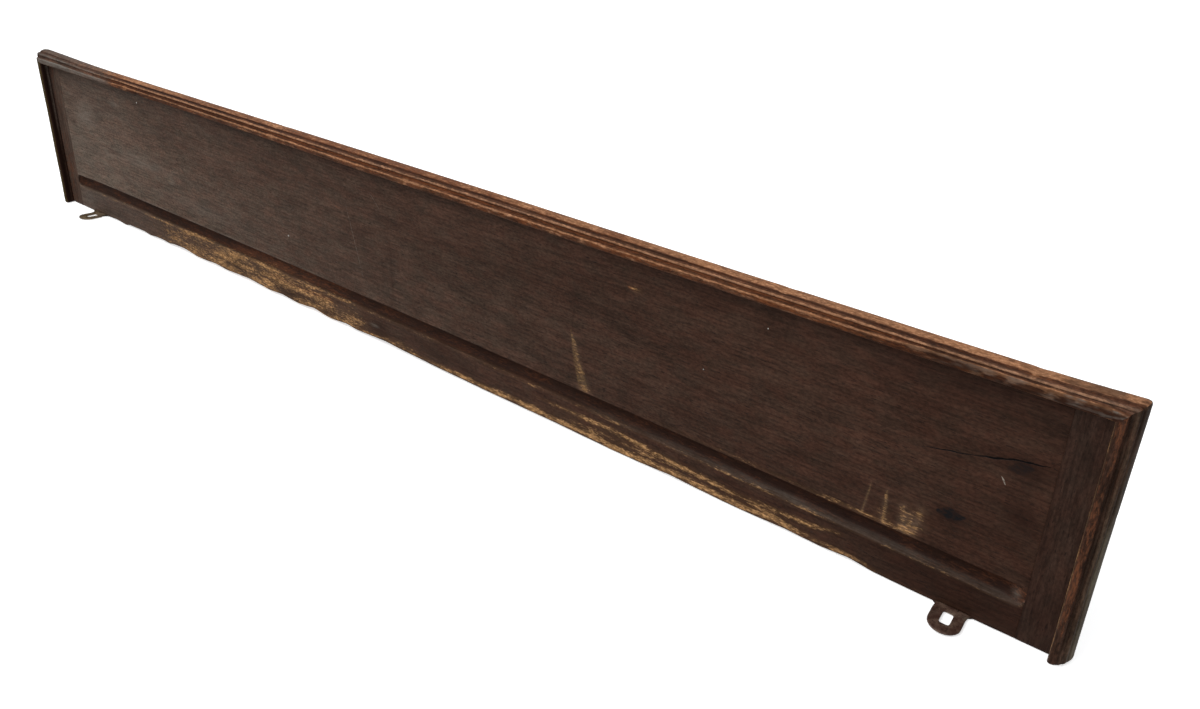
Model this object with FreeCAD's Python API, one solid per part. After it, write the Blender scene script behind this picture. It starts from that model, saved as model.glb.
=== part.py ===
import FreeCAD, Part
import math
import os

# Coat rack with a plate shelf, hung on a wall by two slotted plates. Lengths are millimetres.
# The origin lies on the wall plane, midway between the slots of the two wall hangers.
# The rack faces -Y, +X is to the right of a person who faces it, and +Z is up.

Vector = FreeCAD.Vector

# Shelf panel: one long board with a cleat across each end
inner_length = 1177.0
panel_depth = 165.0
shelf_thickness = 20.0
cleat_width = 22.0
tongue_length = 9.0
tongue_thickness = 6.0
tongue_clearance = 0.2

# Groove that the rims of standing plates drop into
groove_width = 13.0
groove_depth = 6.0
groove_from_wall = 32.0

# Moulding round the front and both ends, standing proud of the panel as a lip
moulding_width = 11.5
lip_height = 8.0

# Wall hangers: flat plates let into the back, each with a slotted ear above the shelf
hanger_inset = 62.0
hanger_thickness = 2.5
hanger_clearance = 0.3
ear_width = 20.0
ear_height = 28.6
flare_start = 5.0
slot_width = 6.6
slot_height = 12.0
slot_corner = 2.6
slot_rise = 13.0
hanger_body_width = 40.0
hanger_body_depth = 44.0
hanger_body_corner = 8.0

# Back board, below the shelf
back_inset = 22.5
back_height = 150.0
back_thickness = 20.0
back_corner = 26.0
back_chamfer = 4.0

# Brackets between the back board and the shelf
bracket_count = 3
bracket_inset = 110.5
bracket_thickness = 22.0
bracket_depth = 128.0
bracket_height = 128.0

# Cove strips in the corner below the shelf
cove_size = 16.0
cove_margin = 3.0
cove_clearance = 0.2

# Hooks, three in each bay
hooks_per_bay = 3
hook_drop = 82.0
hook_plate_width = 24.0
hook_plate_height = 98.0
hook_plate_thickness = 4.0
prong_radius = 3.6
boss_radius = 7.5
boss_length = 5.0
upper_root_rise = 15.0
upper_reach = 24.0
upper_bend_radius = 32.0
upper_bend_angle = 62.0
upper_tail = 16.0
upper_ball_radius = 7.0
lower_root_drop = 21.0
lower_start_angle = -45.0
lower_bend_radius = 16.0
lower_bend_angle = 125.0
lower_tail = 8.0
lower_ball_radius = 5.5

# Screws, dowels and brads
fastener_clearance = 0.15
screw_slot_width = 0.9
screw_slot_depth = 0.9
plate_screw_radius = 1.75
plate_screw_head_radius = 3.6
plate_screw_head_height = 2.0
plate_screw_length = 16.0
plate_screw_point = 5.0
hook_screw_spacing = 80.0
hanger_screw_spacing = 24.0
hanger_screw_drop = 33.0
bracket_screw_radius = 2.25
bracket_screw_head_radius = 4.6
bracket_screw_head_height = 3.0
bracket_screw_length = 50.0
bracket_screw_point = 7.0
dowel_radius = 4.0
dowel_chamfer = 1.0
dowel_hole_spare = 1.0
back_dowel_count = 5
back_dowel_inset = 128.5
back_dowel_in_shelf = 12.0
back_dowel_in_board = 20.0
bracket_dowel_in_shelf = 12.0
bracket_dowel_in_bracket = 14.0
brad_radius = 0.8
brad_in_moulding = 6.0
brad_in_shelf = 20.0
brad_drop = 8.0
brad_margin = 60.0
front_brad_count = 7
end_brad_setbacks = (45.0, 120.0)

# How far a cut runs past the face that it starts from
overrun = 2.0

# Places worked out from the sizes above. Insets are measured from the end mouldings.
panel_top = -slot_rise
panel_bottom = panel_top - shelf_thickness
inner_half = inner_length / 2
board_half = inner_half - cleat_width
back_half = inner_half - back_inset
hanger_offset = inner_half - hanger_inset
bracket_offset = inner_half - bracket_inset
back_bottom = panel_bottom - back_height
back_face = -back_thickness
hook_level = panel_bottom - hook_drop
bay_start = bracket_thickness / 2
bay_length = bracket_offset - bracket_thickness

# Moulding outline: shares of the width, then of the lip's height above the panel or of the
# shelf's thickness below it. Each arc is given by its middle and its end.
inner_arris_shares = ((0.0, 0.70), (0.05, 0.91), (0.17, 1.0))
crest_end_shares = (0.44, 0.97)
hollow_shares = ((0.50, 0.66), (0.63, 0.56))
bead_shares = ((0.76, 0.58), (0.84, 0.27))
step_shares = (0.90, 0.16)
nose_shares = ((1.0, 0.20), (0.80, 0.575))
under_hollow_shares = ((0.50, 0.68), (0.38, 0.94))

# Bracket outline: shares of its depth and height, from the top back corner
bracket_front_share = 0.11
bracket_cove_shares = ((0.74, 0.17), (0.62, 0.36))
bracket_belly_shares = ((0.57, 0.55), (0.38, 0.61))
bracket_fillet_shares = (0.34, 0.66)
bracket_tail_shares = ((0.20, 0.74), (0.16, 0.93))
bracket_foot_share = 0.12

# Places of a bracket's screws down its height and of its dowels along its depth
bracket_screw_shares = (0.28, 0.60)
bracket_dowel_shares = (0.30, 0.72)

parts_folder = "parts"


def save(name, shape):
    """Writes one named piece as a STEP file and prints its volume."""
    shape.exportStep(os.path.join(parts_folder, name + ".step"))
    print(name, len(shape.Solids), round(shape.Volume), shape.isValid())


def save_group(name, solids):
    """Writes like fasteners as one named group of separate solids."""
    save(name, Part.makeCompound(solids))


def block(x_range, y_range, z_range):
    """A box between the low and the high value along each axis."""
    low = Vector(x_range[0], y_range[0], z_range[0])
    return Part.makeBox(x_range[1] - low.x, y_range[1] - low.y, z_range[1] - low.z, low)


def line(start, end):
    """A straight edge."""
    return Part.LineSegment(start, end).toShape()


def arc(start, middle, end):
    """A round edge through three points."""
    return Part.Arc(start, middle, end).toShape()


def face_of(edges):
    """A flat face inside a closed ring of edges that meet end to end."""
    return Part.Face(Part.Wire(edges))


def turned(outline, start, direction):
    """A solid turned from (radius, distance) points about a line from start along direction."""
    points = [Vector(radius, 0, distance) for radius, distance in outline]
    ring = Part.Face(Part.makePolygon(points + [points[0]]))
    solid = ring.revolve(Vector(0, 0, 0), Vector(0, 0, 1), 360)
    turn = FreeCAD.Rotation(Vector(0, 0, 1), direction)
    solid.Placement = FreeCAD.Placement(start, turn)
    return solid


# Fasteners. Each place is the point where the fastener starts and the direction it is driven in.

def screw(place, sizes):
    """A slotted countersunk screw, its head flush with the start point."""
    radius, head_radius, head_height, length, point = sizes
    outline = [(0, 0), (head_radius, 0), (radius, head_height), (radius, length - point), (0, length)]
    body = turned(outline, place[0], place[1])
    slot = Part.makeBox(head_radius * 2, screw_slot_width, screw_slot_depth + overrun,
                        Vector(-head_radius, -screw_slot_width / 2, -overrun))
    turn = FreeCAD.Rotation(Vector(0, 0, 1), place[1])
    slot.Placement = FreeCAD.Placement(place[0], turn).multiply(slot.Placement)
    return body.cut(slot)


def screw_hole(place, sizes):
    """The countersunk hole of one screw, wider than the screw all round."""
    radius, head_radius, head_height, length, point = sizes
    wide = radius + fastener_clearance
    head_wide = head_radius + fastener_clearance
    outline = [(0, -overrun), (head_wide, -overrun), (head_wide, 0), (wide, head_height),
               (wide, length - point), (fastener_clearance, length), (0, length)]
    return turned(outline, place[0], place[1])


def dowel(place, length):
    """A round dowel with chamfered ends."""
    narrow = dowel_radius - dowel_chamfer
    outline = [(0, 0), (narrow, 0), (dowel_radius, dowel_chamfer), (dowel_radius, length - dowel_chamfer),
               (narrow, length), (0, length)]
    return turned(outline, place[0], place[1])


def dowel_hole(place, length):
    """The hole of one dowel, a little longer than the dowel at both ends."""
    start = place[0] - place[1] * dowel_hole_spare
    depth = length + dowel_hole_spare * 2
    return Part.makeCylinder(dowel_radius + fastener_clearance, depth, start, place[1])


plate_screw = (plate_screw_radius, plate_screw_head_radius, plate_screw_head_height,
               plate_screw_length, plate_screw_point)
bracket_screw = (bracket_screw_radius, bracket_screw_head_radius, bracket_screw_head_height,
                 bracket_screw_length, bracket_screw_point)
back_dowel_length = back_dowel_in_shelf + back_dowel_in_board
bracket_dowel_length = bracket_dowel_in_shelf + bracket_dowel_in_bracket
brad_length = brad_in_moulding + brad_in_shelf


def bracket_places():
    """The middle of each bracket along X, from left to right."""
    gaps = bracket_count - 1
    return [bracket_offset * (2 * index / gaps - 1) for index in range(bracket_count)]


def hook_places():
    """The middle of each hook along X, evenly spread in the two bays."""
    pitch = bay_length / hooks_per_bay
    right = [bay_start + pitch * index + pitch / 2 for index in range(hooks_per_bay)]
    return [-x for x in reversed(right)] + right


def hook_screw_places():
    """Two screws in each hook plate, driven towards the wall."""
    front = back_face - hook_plate_thickness
    rises = (-hook_screw_spacing / 2, hook_screw_spacing / 2)
    return [(Vector(x, front, hook_level + rise), Vector(0, 1, 0)) for x in hook_places() for rise in rises]


def hanger_screw_places():
    """Two screws low in each hanger, driven into the back board from the wall side."""
    level = panel_top - hanger_screw_drop
    sides = (-hanger_screw_spacing / 2, hanger_screw_spacing / 2)
    middles = (-hanger_offset, hanger_offset)
    return [(Vector(x + side, 0, level), Vector(0, -1, 0)) for x in middles for side in sides]


def bracket_screw_places():
    """Two screws through the back board into each bracket."""
    levels = [panel_bottom - share * bracket_height for share in bracket_screw_shares]
    return [(Vector(x, 0, level), Vector(0, -1, 0)) for x in bracket_places() for level in levels]


def back_dowel_places():
    """Dowels up from the back board's top edge into the shelf."""
    start = back_dowel_inset - inner_half
    spacing = -start * 2 / (back_dowel_count - 1)
    low = panel_bottom - back_dowel_in_board
    return [(Vector(start + spacing * index, back_face / 2, low), Vector(0, 0, 1))
            for index in range(back_dowel_count)]


def bracket_dowel_places():
    """Dowels up from each bracket's top into the shelf."""
    low = panel_bottom - bracket_dowel_in_bracket
    return [(Vector(x, back_face - share * bracket_depth, low), Vector(0, 0, 1))
            for x in bracket_places() for share in bracket_dowel_shares]


def brad_places():
    """Brads that hold the mouldings, each starting inside the moulding."""
    level = panel_top - brad_drop
    span = inner_length - brad_margin * 2
    step = span / (front_brad_count - 1)
    front_y = -panel_depth - brad_in_moulding
    places = [(Vector(-span / 2 + step * index, front_y, level), Vector(0, 1, 0))
              for index in range(front_brad_count)]
    for side in (-1, 1):
        x = side * (inner_half + brad_in_moulding)
        places += [(Vector(x, -setback, level), Vector(-side, 0, 0)) for setback in end_brad_setbacks]
    return places


def brad(place):
    """One headless brad."""
    return Part.makeCylinder(brad_radius, brad_length, place[0], place[1])


def brad_holes():
    """The holes of all brads, as one shape to cut with."""
    return [Part.makeCylinder(brad_radius + fastener_clearance, brad_length, place[0], place[1])
            for place in brad_places()]


# Wall hangers

def hanger_outline(middle, grow):
    """The hanger's outline on the wall plane, made larger all round by the clearance given."""
    half_ear = ear_width / 2 + grow
    half_body = hanger_body_width / 2 + grow
    ear_top = panel_top + ear_height + grow
    flare = half_body - half_ear
    flare_top = panel_top + flare_start
    flare_low = flare_top - flare
    foot = panel_top - hanger_body_depth - grow
    bend = flare * (1 - math.sqrt(1 / 2))
    corner = hanger_body_corner
    round_in = corner * (1 - math.sqrt(1 / 2))

    def at(x, z):
        return Vector(middle + x, 0, z)

    return face_of([
        arc(at(-half_ear, ear_top - half_ear), at(0, ear_top), at(half_ear, ear_top - half_ear)),
        line(at(half_ear, ear_top - half_ear), at(half_ear, flare_top)),
        arc(at(half_ear, flare_top), at(half_ear + bend, flare_low + bend), at(half_body, flare_low)),
        line(at(half_body, flare_low), at(half_body, foot + corner)),
        arc(at(half_body, foot + corner), at(half_body - round_in, foot + round_in),
            at(half_body - corner, foot)),
        line(at(half_body - corner, foot), at(corner - half_body, foot)),
        arc(at(corner - half_body, foot), at(round_in - half_body, foot + round_in),
            at(-half_body, foot + corner)),
        line(at(-half_body, foot + corner), at(-half_body, flare_low)),
        arc(at(-half_body, flare_low), at(-half_ear - bend, flare_low + bend), at(-half_ear, flare_top)),
        line(at(-half_ear, flare_top), at(-half_ear, ear_top - half_ear)),
    ])


def hanger_recess(middle):
    """The space that one hanger needs in the back of the shelf and the back board."""
    face = hanger_outline(middle, hanger_clearance)
    face.translate(Vector(0, overrun, 0))
    return face.extrude(Vector(0, -hanger_thickness - overrun, 0))


def hanger(middle):
    """One wall hanger with its upright slot and its two screw holes."""
    plate = hanger_outline(middle, 0).extrude(Vector(0, -hanger_thickness, 0))
    slot = block((middle - slot_width / 2, middle + slot_width / 2), (-hanger_thickness - overrun, overrun),
                 (-slot_height / 2, slot_height / 2))
    upright = [edge for edge in slot.Edges if abs(edge.tangentAt(edge.FirstParameter).y) > math.sqrt(1 / 2)]
    holes = [screw_hole(place, plate_screw) for place in hanger_screw_places()]
    return plate.cut([slot.makeFillet(slot_corner, upright)] + holes)


# Shelf

def groove_cut():
    """The round-bottomed plate groove, along the whole length of the shelf board."""
    radius = (groove_width ** 2 / 4 + groove_depth ** 2) / (2 * groove_depth)
    start = Vector(-board_half, -groove_from_wall, panel_top - groove_depth + radius)
    return Part.makeCylinder(radius, board_half * 2, start, Vector(1, 0, 0))


def tongue(side, clearance):
    """The tongue at one end of the shelf board, or the groove for it where a clearance is given."""
    middle = panel_top - shelf_thickness / 2
    half = tongue_thickness / 2 + clearance
    near = side * board_half
    far = side * (board_half + tongue_length + clearance)
    return block((min(near, far), max(near, far)), (-panel_depth, 0), (middle - half, middle + half))


def shelf_board():
    """The long board: tongues at both ends, plate groove on top, hanger recesses at the back."""
    board = block((-board_half, board_half), (-panel_depth, 0), (panel_bottom, panel_top))
    board = board.fuse([tongue(-1, 0), tongue(1, 0)]).removeSplitter()
    cuts = [groove_cut(), hanger_recess(-hanger_offset), hanger_recess(hanger_offset)]
    cuts += [dowel_hole(place, back_dowel_length) for place in back_dowel_places()]
    cuts += [dowel_hole(place, bracket_dowel_length) for place in bracket_dowel_places()]
    return board.cut(cuts + brad_holes())


def end_cleat(side):
    """The cleat across one end of the shelf, its grain running from front to back."""
    x_range = sorted((side * board_half, side * inner_half))
    cleat = block(x_range, (-panel_depth, 0), (panel_bottom, panel_top))
    return cleat.cut([tongue(side, tongue_clearance)] + brad_holes())


# Mouldings

def moulding_face(place):
    """The moulding's section; place turns a distance outward and a height into a point."""
    def up(shares):
        return place(shares[0] * moulding_width, panel_top + shares[1] * lip_height)

    def down(shares):
        return place(shares[0] * moulding_width, panel_top - shares[1] * shelf_thickness)

    low_inner = place(0, panel_bottom)
    low_outer = place(under_hollow_shares[1][0] * moulding_width, panel_bottom)
    return face_of([
        line(low_inner, up(inner_arris_shares[0])),
        arc(*[up(shares) for shares in inner_arris_shares]),
        line(up(inner_arris_shares[2]), up(crest_end_shares)),
        arc(up(crest_end_shares), up(hollow_shares[0]), up(hollow_shares[1])),
        arc(up(hollow_shares[1]), up(bead_shares[0]), up(bead_shares[1])),
        line(up(bead_shares[1]), up(step_shares)),
        arc(up(step_shares), down(nose_shares[0]), down(nose_shares[1])),
        arc(down(nose_shares[1]), down(under_hollow_shares[0]), down(under_hollow_shares[1])),
        line(down(under_hollow_shares[1]), low_outer),
        line(low_outer, low_inner),
    ])


def mitre_waste(side, keep_front):
    """A prism over one front corner, on one side of the line of its mitre."""
    reach = moulding_width + overrun
    corner_x = inner_half - overrun
    corner_y = -panel_depth + overrun
    tip_x = inner_half + reach
    tip_y = -panel_depth - reach
    third = (corner_x, tip_y) if not keep_front else (tip_x, corner_y)
    low = panel_bottom - overrun
    points = [Vector(side * x, y, low) for x, y in ((corner_x, corner_y), (tip_x, tip_y), third)]
    prism = Part.Face(Part.makePolygon(points + [points[0]]))
    return prism.extrude(Vector(0, 0, shelf_thickness + lip_height + overrun * 2))


def front_moulding():
    """The moulding along the front, mitred at both ends."""
    start = -inner_half - moulding_width
    section = moulding_face(lambda outward, z: Vector(start, -panel_depth - outward, z))
    bar = section.extrude(Vector(-start * 2, 0, 0))
    return bar.cut([mitre_waste(-1, True), mitre_waste(1, True)] + brad_holes())


def end_moulding(side):
    """The moulding along one end, mitred at the front and cut square at the wall."""
    section = moulding_face(lambda outward, z: Vector(side * (inner_half + outward), 0, z))
    bar = section.extrude(Vector(0, -panel_depth - moulding_width, 0))
    return bar.cut([mitre_waste(side, False)] + brad_holes())


# Back board, brackets and cove strips

def back_board():
    """The board that carries the hooks: round lower corners and a chamfered lower front edge."""
    half = back_half
    high = panel_bottom
    low = back_bottom
    bend = back_corner * (1 - math.sqrt(1 / 2))

    def at(x, z):
        return Vector(x, back_face, z)

    outline = face_of([
        line(at(-half, high), at(half, high)),
        line(at(half, high), at(half, low + back_corner)),
        arc(at(half, low + back_corner), at(half - bend, low + bend), at(half - back_corner, low)),
        line(at(half - back_corner, low), at(back_corner - half, low)),
        arc(at(back_corner - half, low), at(bend - half, low + bend), at(-half, low + back_corner)),
        line(at(-half, low + back_corner), at(-half, high)),
    ])
    board = outline.extrude(Vector(0, back_thickness, 0))
    inside_top = high - back_chamfer
    rim = [edge for edge in board.Edges
           if edge.BoundBox.YMax < back_face / 2 and edge.BoundBox.ZMin < inside_top]
    board = board.makeChamfer(back_chamfer, rim)
    cuts = [hanger_recess(-hanger_offset), hanger_recess(hanger_offset)]
    cuts += [dowel_hole(place, back_dowel_length) for place in back_dowel_places()]
    cuts += [screw_hole(place, bracket_screw) for place in bracket_screw_places()]
    cuts += [screw_hole(place, plate_screw) for place in hanger_screw_places() + hook_screw_places()]
    return board.cut(cuts)


def bracket(x):
    """One shaped bracket: flat top under the shelf, flat back on the back board, ogee below."""
    side = x - bracket_thickness / 2

    def at(shares):
        return Vector(side, back_face - shares[0] * bracket_depth, panel_bottom - shares[1] * bracket_height)

    front = (1, bracket_front_share)
    foot = (bracket_foot_share, 1)
    outline = face_of([
        line(at((0, 0)), at((1, 0))),
        line(at((1, 0)), at(front)),
        arc(at(front), at(bracket_cove_shares[0]), at(bracket_cove_shares[1])),
        arc(at(bracket_cove_shares[1]), at(bracket_belly_shares[0]), at(bracket_belly_shares[1])),
        line(at(bracket_belly_shares[1]), at(bracket_fillet_shares)),
        arc(at(bracket_fillet_shares), at(bracket_tail_shares[0]), at(bracket_tail_shares[1])),
        line(at(bracket_tail_shares[1]), at(foot)),
        line(at(foot), at((0, 1))),
        line(at((0, 1)), at((0, 0))),
    ])
    body = outline.extrude(Vector(bracket_thickness, 0, 0))
    cuts = [dowel_hole(place, bracket_dowel_length) for place in bracket_dowel_places()]
    cuts += [screw_hole(place, bracket_screw) for place in bracket_screw_places()]
    return body.cut(cuts)


def cove_strip(side):
    """A hollow-faced strip in the corner of shelf and back board, from bracket to bracket."""
    start = side * (bay_start + cove_clearance)
    run = side * (bay_length - cove_clearance * 2)
    reach = cove_size - cove_margin
    hollow = cove_margin + reach * (1 - math.sqrt(1 / 2))

    def at(forward, drop):
        return Vector(start, back_face - forward, panel_bottom - drop)

    outline = face_of([
        line(at(0, 0), at(cove_size, 0)),
        line(at(cove_size, 0), at(cove_size, cove_margin)),
        arc(at(cove_size, cove_margin), at(hollow, hollow), at(cove_margin, cove_size)),
        line(at(cove_margin, cove_size), at(0, cove_size)),
        line(at(0, cove_size), at(0, 0)),
    ])
    return outline.extrude(Vector(run, 0, 0))


# Hooks

def prong_path(x, root, start_angle, straight, radius, bend, tail):
    """A straight run, a bend upward and a tail, and the point where the tail ends.

    The path starts at the root, a (forward, height) pair, and angles are above the horizontal.
    """
    def point(pair):
        return Vector(x, back_face - pair[0], hook_level + pair[1])

    def ahead(pair, angle, distance):
        return (pair[0] + math.cos(angle) * distance, pair[1] + math.sin(angle) * distance)

    first = math.radians(start_angle)
    last = math.radians(start_angle + bend)
    halfway = (first + last) / 2
    bend_start = ahead(root, first, straight)
    centre = ahead(bend_start, first + math.pi / 2, radius)
    bend_middle = ahead(centre, halfway - math.pi / 2, radius)
    bend_end = ahead(centre, last - math.pi / 2, radius)
    tip = ahead(bend_end, last, tail)
    wire = Part.Wire([
        line(point(root), point(bend_start)),
        arc(point(bend_start), point(bend_middle), point(bend_end)),
        line(point(bend_end), point(tip)),
    ])
    direction = Vector(0, -math.cos(first), math.sin(first))
    return wire, direction, point(tip)


def prong(x, root, start_angle, straight, radius, bend, tail, ball_radius):
    """One round prong with a boss at its root and a ball at its tip."""
    wire, direction, tip = prong_path(x, root, start_angle, straight, radius, bend, tail)
    start = wire.Vertexes[0].Point
    section = Part.Wire(Part.makeCircle(prong_radius, start, direction))
    rod = wire.makePipeShell([section], True, False)
    boss = Part.makeCone(boss_radius, prong_radius, boss_length, start, direction)
    return [rod, boss, Part.makeSphere(ball_radius, tip)]


def hook(x):
    """One double hook: a long prong for a hat, a short one below it for a coat."""
    front = back_face - hook_plate_thickness
    half = hook_plate_width / 2
    top = hook_level + hook_plate_height / 2
    bottom = hook_level - hook_plate_height / 2

    def at(side, z):
        return Vector(x + side, back_face, z)

    outline = face_of([
        arc(at(-half, top - half), at(0, top), at(half, top - half)),
        line(at(half, top - half), at(half, bottom + half)),
        arc(at(half, bottom + half), at(0, bottom), at(-half, bottom + half)),
        line(at(-half, bottom + half), at(-half, top - half)),
    ])
    plate = outline.extrude(Vector(0, front - back_face, 0))
    inside = hook_plate_thickness / 2
    upper = prong(x, (inside, upper_root_rise), 0, upper_reach, upper_bend_radius, upper_bend_angle,
                  upper_tail, upper_ball_radius)
    lower = prong(x, (inside, -lower_root_drop), lower_start_angle, inside, lower_bend_radius,
                  lower_bend_angle, lower_tail, lower_ball_radius)
    behind = block((x - hook_plate_width, x + hook_plate_width), (back_face, 0), (bottom, top))
    holes = [screw_hole(place, plate_screw) for place in hook_screw_places()]
    return plate.fuse(upper + lower).cut([behind] + holes)


def build():
    """Makes every piece and writes one file for each."""
    os.makedirs(parts_folder, exist_ok=True)
    save("shelf_board", shelf_board())
    save("front_moulding", front_moulding())
    for name, side in (("left", -1), ("right", 1)):
        save(name + "_end_cleat", end_cleat(side))
        save(name + "_end_moulding", end_moulding(side))
        save(name + "_wall_hanger", hanger(side * hanger_offset))
        save(name + "_cove_strip", cove_strip(side))
    save("back_board", back_board())
    for name, x in zip(("left", "middle", "right"), bracket_places()):
        save(name + "_bracket", bracket(x))
    for number, x in enumerate(hook_places(), 1):
        save("hook_" + str(number), hook(x))
    save_group("hook_screws", [screw(place, plate_screw) for place in hook_screw_places()])
    save_group("hanger_screws", [screw(place, plate_screw) for place in hanger_screw_places()])
    save_group("bracket_screws", [screw(place, bracket_screw) for place in bracket_screw_places()])
    save_group("shelf_dowels", [dowel(place, back_dowel_length) for place in back_dowel_places()])
    save_group("bracket_dowels", [dowel(place, bracket_dowel_length) for place in bracket_dowel_places()])
    save_group("moulding_brads", [brad(place) for place in brad_places()])


build()
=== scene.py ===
import functools
import logging
import math
from dataclasses import dataclass
from enum import Enum
from typing import Any, Callable, Optional

import bpy
import numpy as np
from mathutils import Matrix, Vector


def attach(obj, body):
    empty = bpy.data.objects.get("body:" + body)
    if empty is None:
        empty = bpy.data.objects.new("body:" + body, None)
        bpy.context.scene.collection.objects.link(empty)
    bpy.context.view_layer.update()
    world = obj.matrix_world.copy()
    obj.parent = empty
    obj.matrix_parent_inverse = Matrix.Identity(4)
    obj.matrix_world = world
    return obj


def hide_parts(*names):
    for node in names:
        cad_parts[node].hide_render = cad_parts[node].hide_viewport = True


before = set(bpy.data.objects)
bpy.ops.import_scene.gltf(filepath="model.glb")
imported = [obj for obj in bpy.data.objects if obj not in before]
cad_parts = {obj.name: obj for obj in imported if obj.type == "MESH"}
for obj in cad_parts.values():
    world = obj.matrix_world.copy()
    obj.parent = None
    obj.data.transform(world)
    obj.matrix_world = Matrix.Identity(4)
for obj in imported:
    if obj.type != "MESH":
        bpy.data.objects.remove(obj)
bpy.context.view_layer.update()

# Looks of a coat rack with a plate shelf, in the frame of its solids. Sizes of the pieces are in
# millimetres and become metres where a mesh is written; colours are linear.

log = logging.getLogger("coat_rack")

MM = 0.001
SHELF_TOP = -13.0
ROOT_HALF = math.sqrt(0.5)
PATCH_CELLS = 64
PATCH_SHIFT = (17.3, 5.9)
Array = np.ndarray
Point = tuple[float, float]
Triple = tuple[float, float, float]
Colour = tuple[float, float, float, float]
Masks = dict[str, Array]
Material = bpy.types.Material
Socket = bpy.types.NodeSocket
Sockets = dict[str, Socket]


def rgb(red: float, green: float, blue: float) -> Colour:
    """A linear colour with full alpha."""
    return (red, green, blue, 1)


class Side(Enum):
    """An end of the rack, as its direction along X."""

    LEFT = -1
    RIGHT = 1

    def named(self, piece: str) -> str:
        """The name of this side's own piece."""
        return self.name.lower() + "_" + piece


# Numbers that vary smoothly

def smooth(values: Array, low: float, high: float) -> Array:
    """Eases from 0 at low to 1 at high: three times the square of the way less twice its cube."""
    share = np.clip((np.asarray(values, float) - low) / (high - low), 0, 1)
    return share * share * (3 - 2 * share)


def bump(values: Array, middle: Any, reach: Any) -> Array:
    """A bell of height 1 at middle: the exponential of minus the squared distance in reaches."""
    return np.exp(-((np.asarray(values, float) - middle) / reach) ** 2)


def patches(x: Array, y: Array, seed: int, period_x: float, period_y: float, octaves: int = 3) -> Array:
    """Soft random patches: seeded values on a grid, blended by easing, summed over octaves.

    Args:
        x: places along the first direction.
        y: places along the second.
        seed: picks the pattern.
        period_x: size of the largest patches along x.
        period_y: size of the largest patches along y.
        octaves: how many times the patches are halved and added at half the weight.
    Returns:
        Shares round one half, in the shape of x and y together.
    """
    table = np.random.default_rng(seed).random((PATCH_CELLS, PATCH_CELLS))
    x, y = np.broadcast_arrays(np.asarray(x, float), np.asarray(y, float))
    total = np.zeros(x.shape)
    weights = [0.5 ** octave for octave in range(octaves)]
    for octave, weight in enumerate(weights):
        u = x / period_x * 2 ** octave + octave * PATCH_SHIFT[0]
        v = y / period_y * 2 ** octave + octave * PATCH_SHIFT[1]
        i, j = np.floor(u).astype(int), np.floor(v).astype(int)
        a, b = smooth(u - i, 0, 1), smooth(v - j, 0, 1)
        left, right = i % PATCH_CELLS, (i + 1) % PATCH_CELLS
        low, high = (table[left, row] * (1 - a) + table[right, row] * a
                     for row in (j % PATCH_CELLS, (j + 1) % PATCH_CELLS))
        total += weight * (low * (1 - b) + high * b)
    return total / sum(weights)


def ripple(x: Array, seed: int, period: float, octaves: int = 3) -> Array:
    """Soft random waves along one direction, between about -1 and 1."""
    return patches(x, np.zeros(1), seed, period, 1, octaves) * 2 - 1


@dataclass(frozen=True)
class Course:
    """A value that follows a broken line through places along a piece."""

    places: tuple[float, ...]
    values: tuple[float, ...]

    def at(self, x: Array) -> Array:
        """The value at each place of x."""
        return np.interp(x, self.places, self.values)


# Lines

def stations(low: float, high: float, spacing: float, eased: float = 0.4, ends: float = 9) -> Array:
    """Places from low to high, twice as close within the end zones, and one very close to each end.

    Args:
        low: the first place.
        high: the last place.
        spacing: distance of the places outside the end zones.
        eased: distance of the second place from the first, and likewise at the end.
        ends: length of an end zone.
    Returns:
        The places in order.
    """
    near = np.linspace(low + eased, low + ends, max(3, round(2 * ends / spacing)))
    far = (low + high) - near[::-1]
    inner = np.linspace(near[-1], far[0], max(3, round((far[0] - near[-1]) / spacing)))
    return np.concatenate([[low], near, inner[1:-1], far, [high]])


def run(start: Point, end: Point, count: int) -> Array:
    """Even points on the straight line from start to end."""
    return np.linspace(np.asarray(start, float), np.asarray(end, float), count)


def arc(start: Point, middle: Point, end: Point, count: int) -> Array:
    """Points on the circle through three points of a plane.

    The centre is where the perpendicular bisectors meet, and the angle runs evenly from start
    to end on the side of middle.

    Args:
        start: first point.
        middle: a point on the way.
        end: last point.
        count: how many points, both ends among them.
    Returns:
        The points, one per row.
    """
    a, b, c = (np.asarray(point, float) for point in (start, middle, end))
    sides = 2 * np.array([b - a, c - a])
    centre = np.linalg.solve(sides, np.array([b @ b - a @ a, c @ c - a @ a]))
    first, between, last = (math.atan2(*(p - centre)[::-1]) for p in (a, b, c))
    turn = (last - first) % math.tau
    if (between - first) % math.tau > turn:
        turn -= math.tau
    angles = first + np.linspace(0, 1, count) * turn
    return centre + np.linalg.norm(a - centre) * np.stack([np.cos(angles), np.sin(angles)], axis=1)


def path(start: Point, *legs: tuple) -> Array:
    """Points along straight legs and arcs that follow each other.

    Args:
        start: the first point.
        *legs: the count of a leg's points, both ends among them, then its end; an arc has a point
            on the way before its end.
    Returns:
        The points, one per row, each joint of two legs once.
    """
    points = [np.array([start], float)]
    for count, *stops in legs:
        leg = run if len(stops) == 1 else arc
        points.append(leg(start, *stops, count)[1:])
        start = stops[-1]
    return np.concatenate(points)


# Surfaces

def placed(name: str, data: bpy.types.ID) -> bpy.types.Object:
    """Adds an object to the scene.

    Args:
        name: its name.
        data: its mesh, camera or lamp.
    Returns:
        The object.
    """
    made = bpy.data.objects.new(name, data)
    bpy.context.scene.collection.objects.link(made)
    return made


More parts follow.
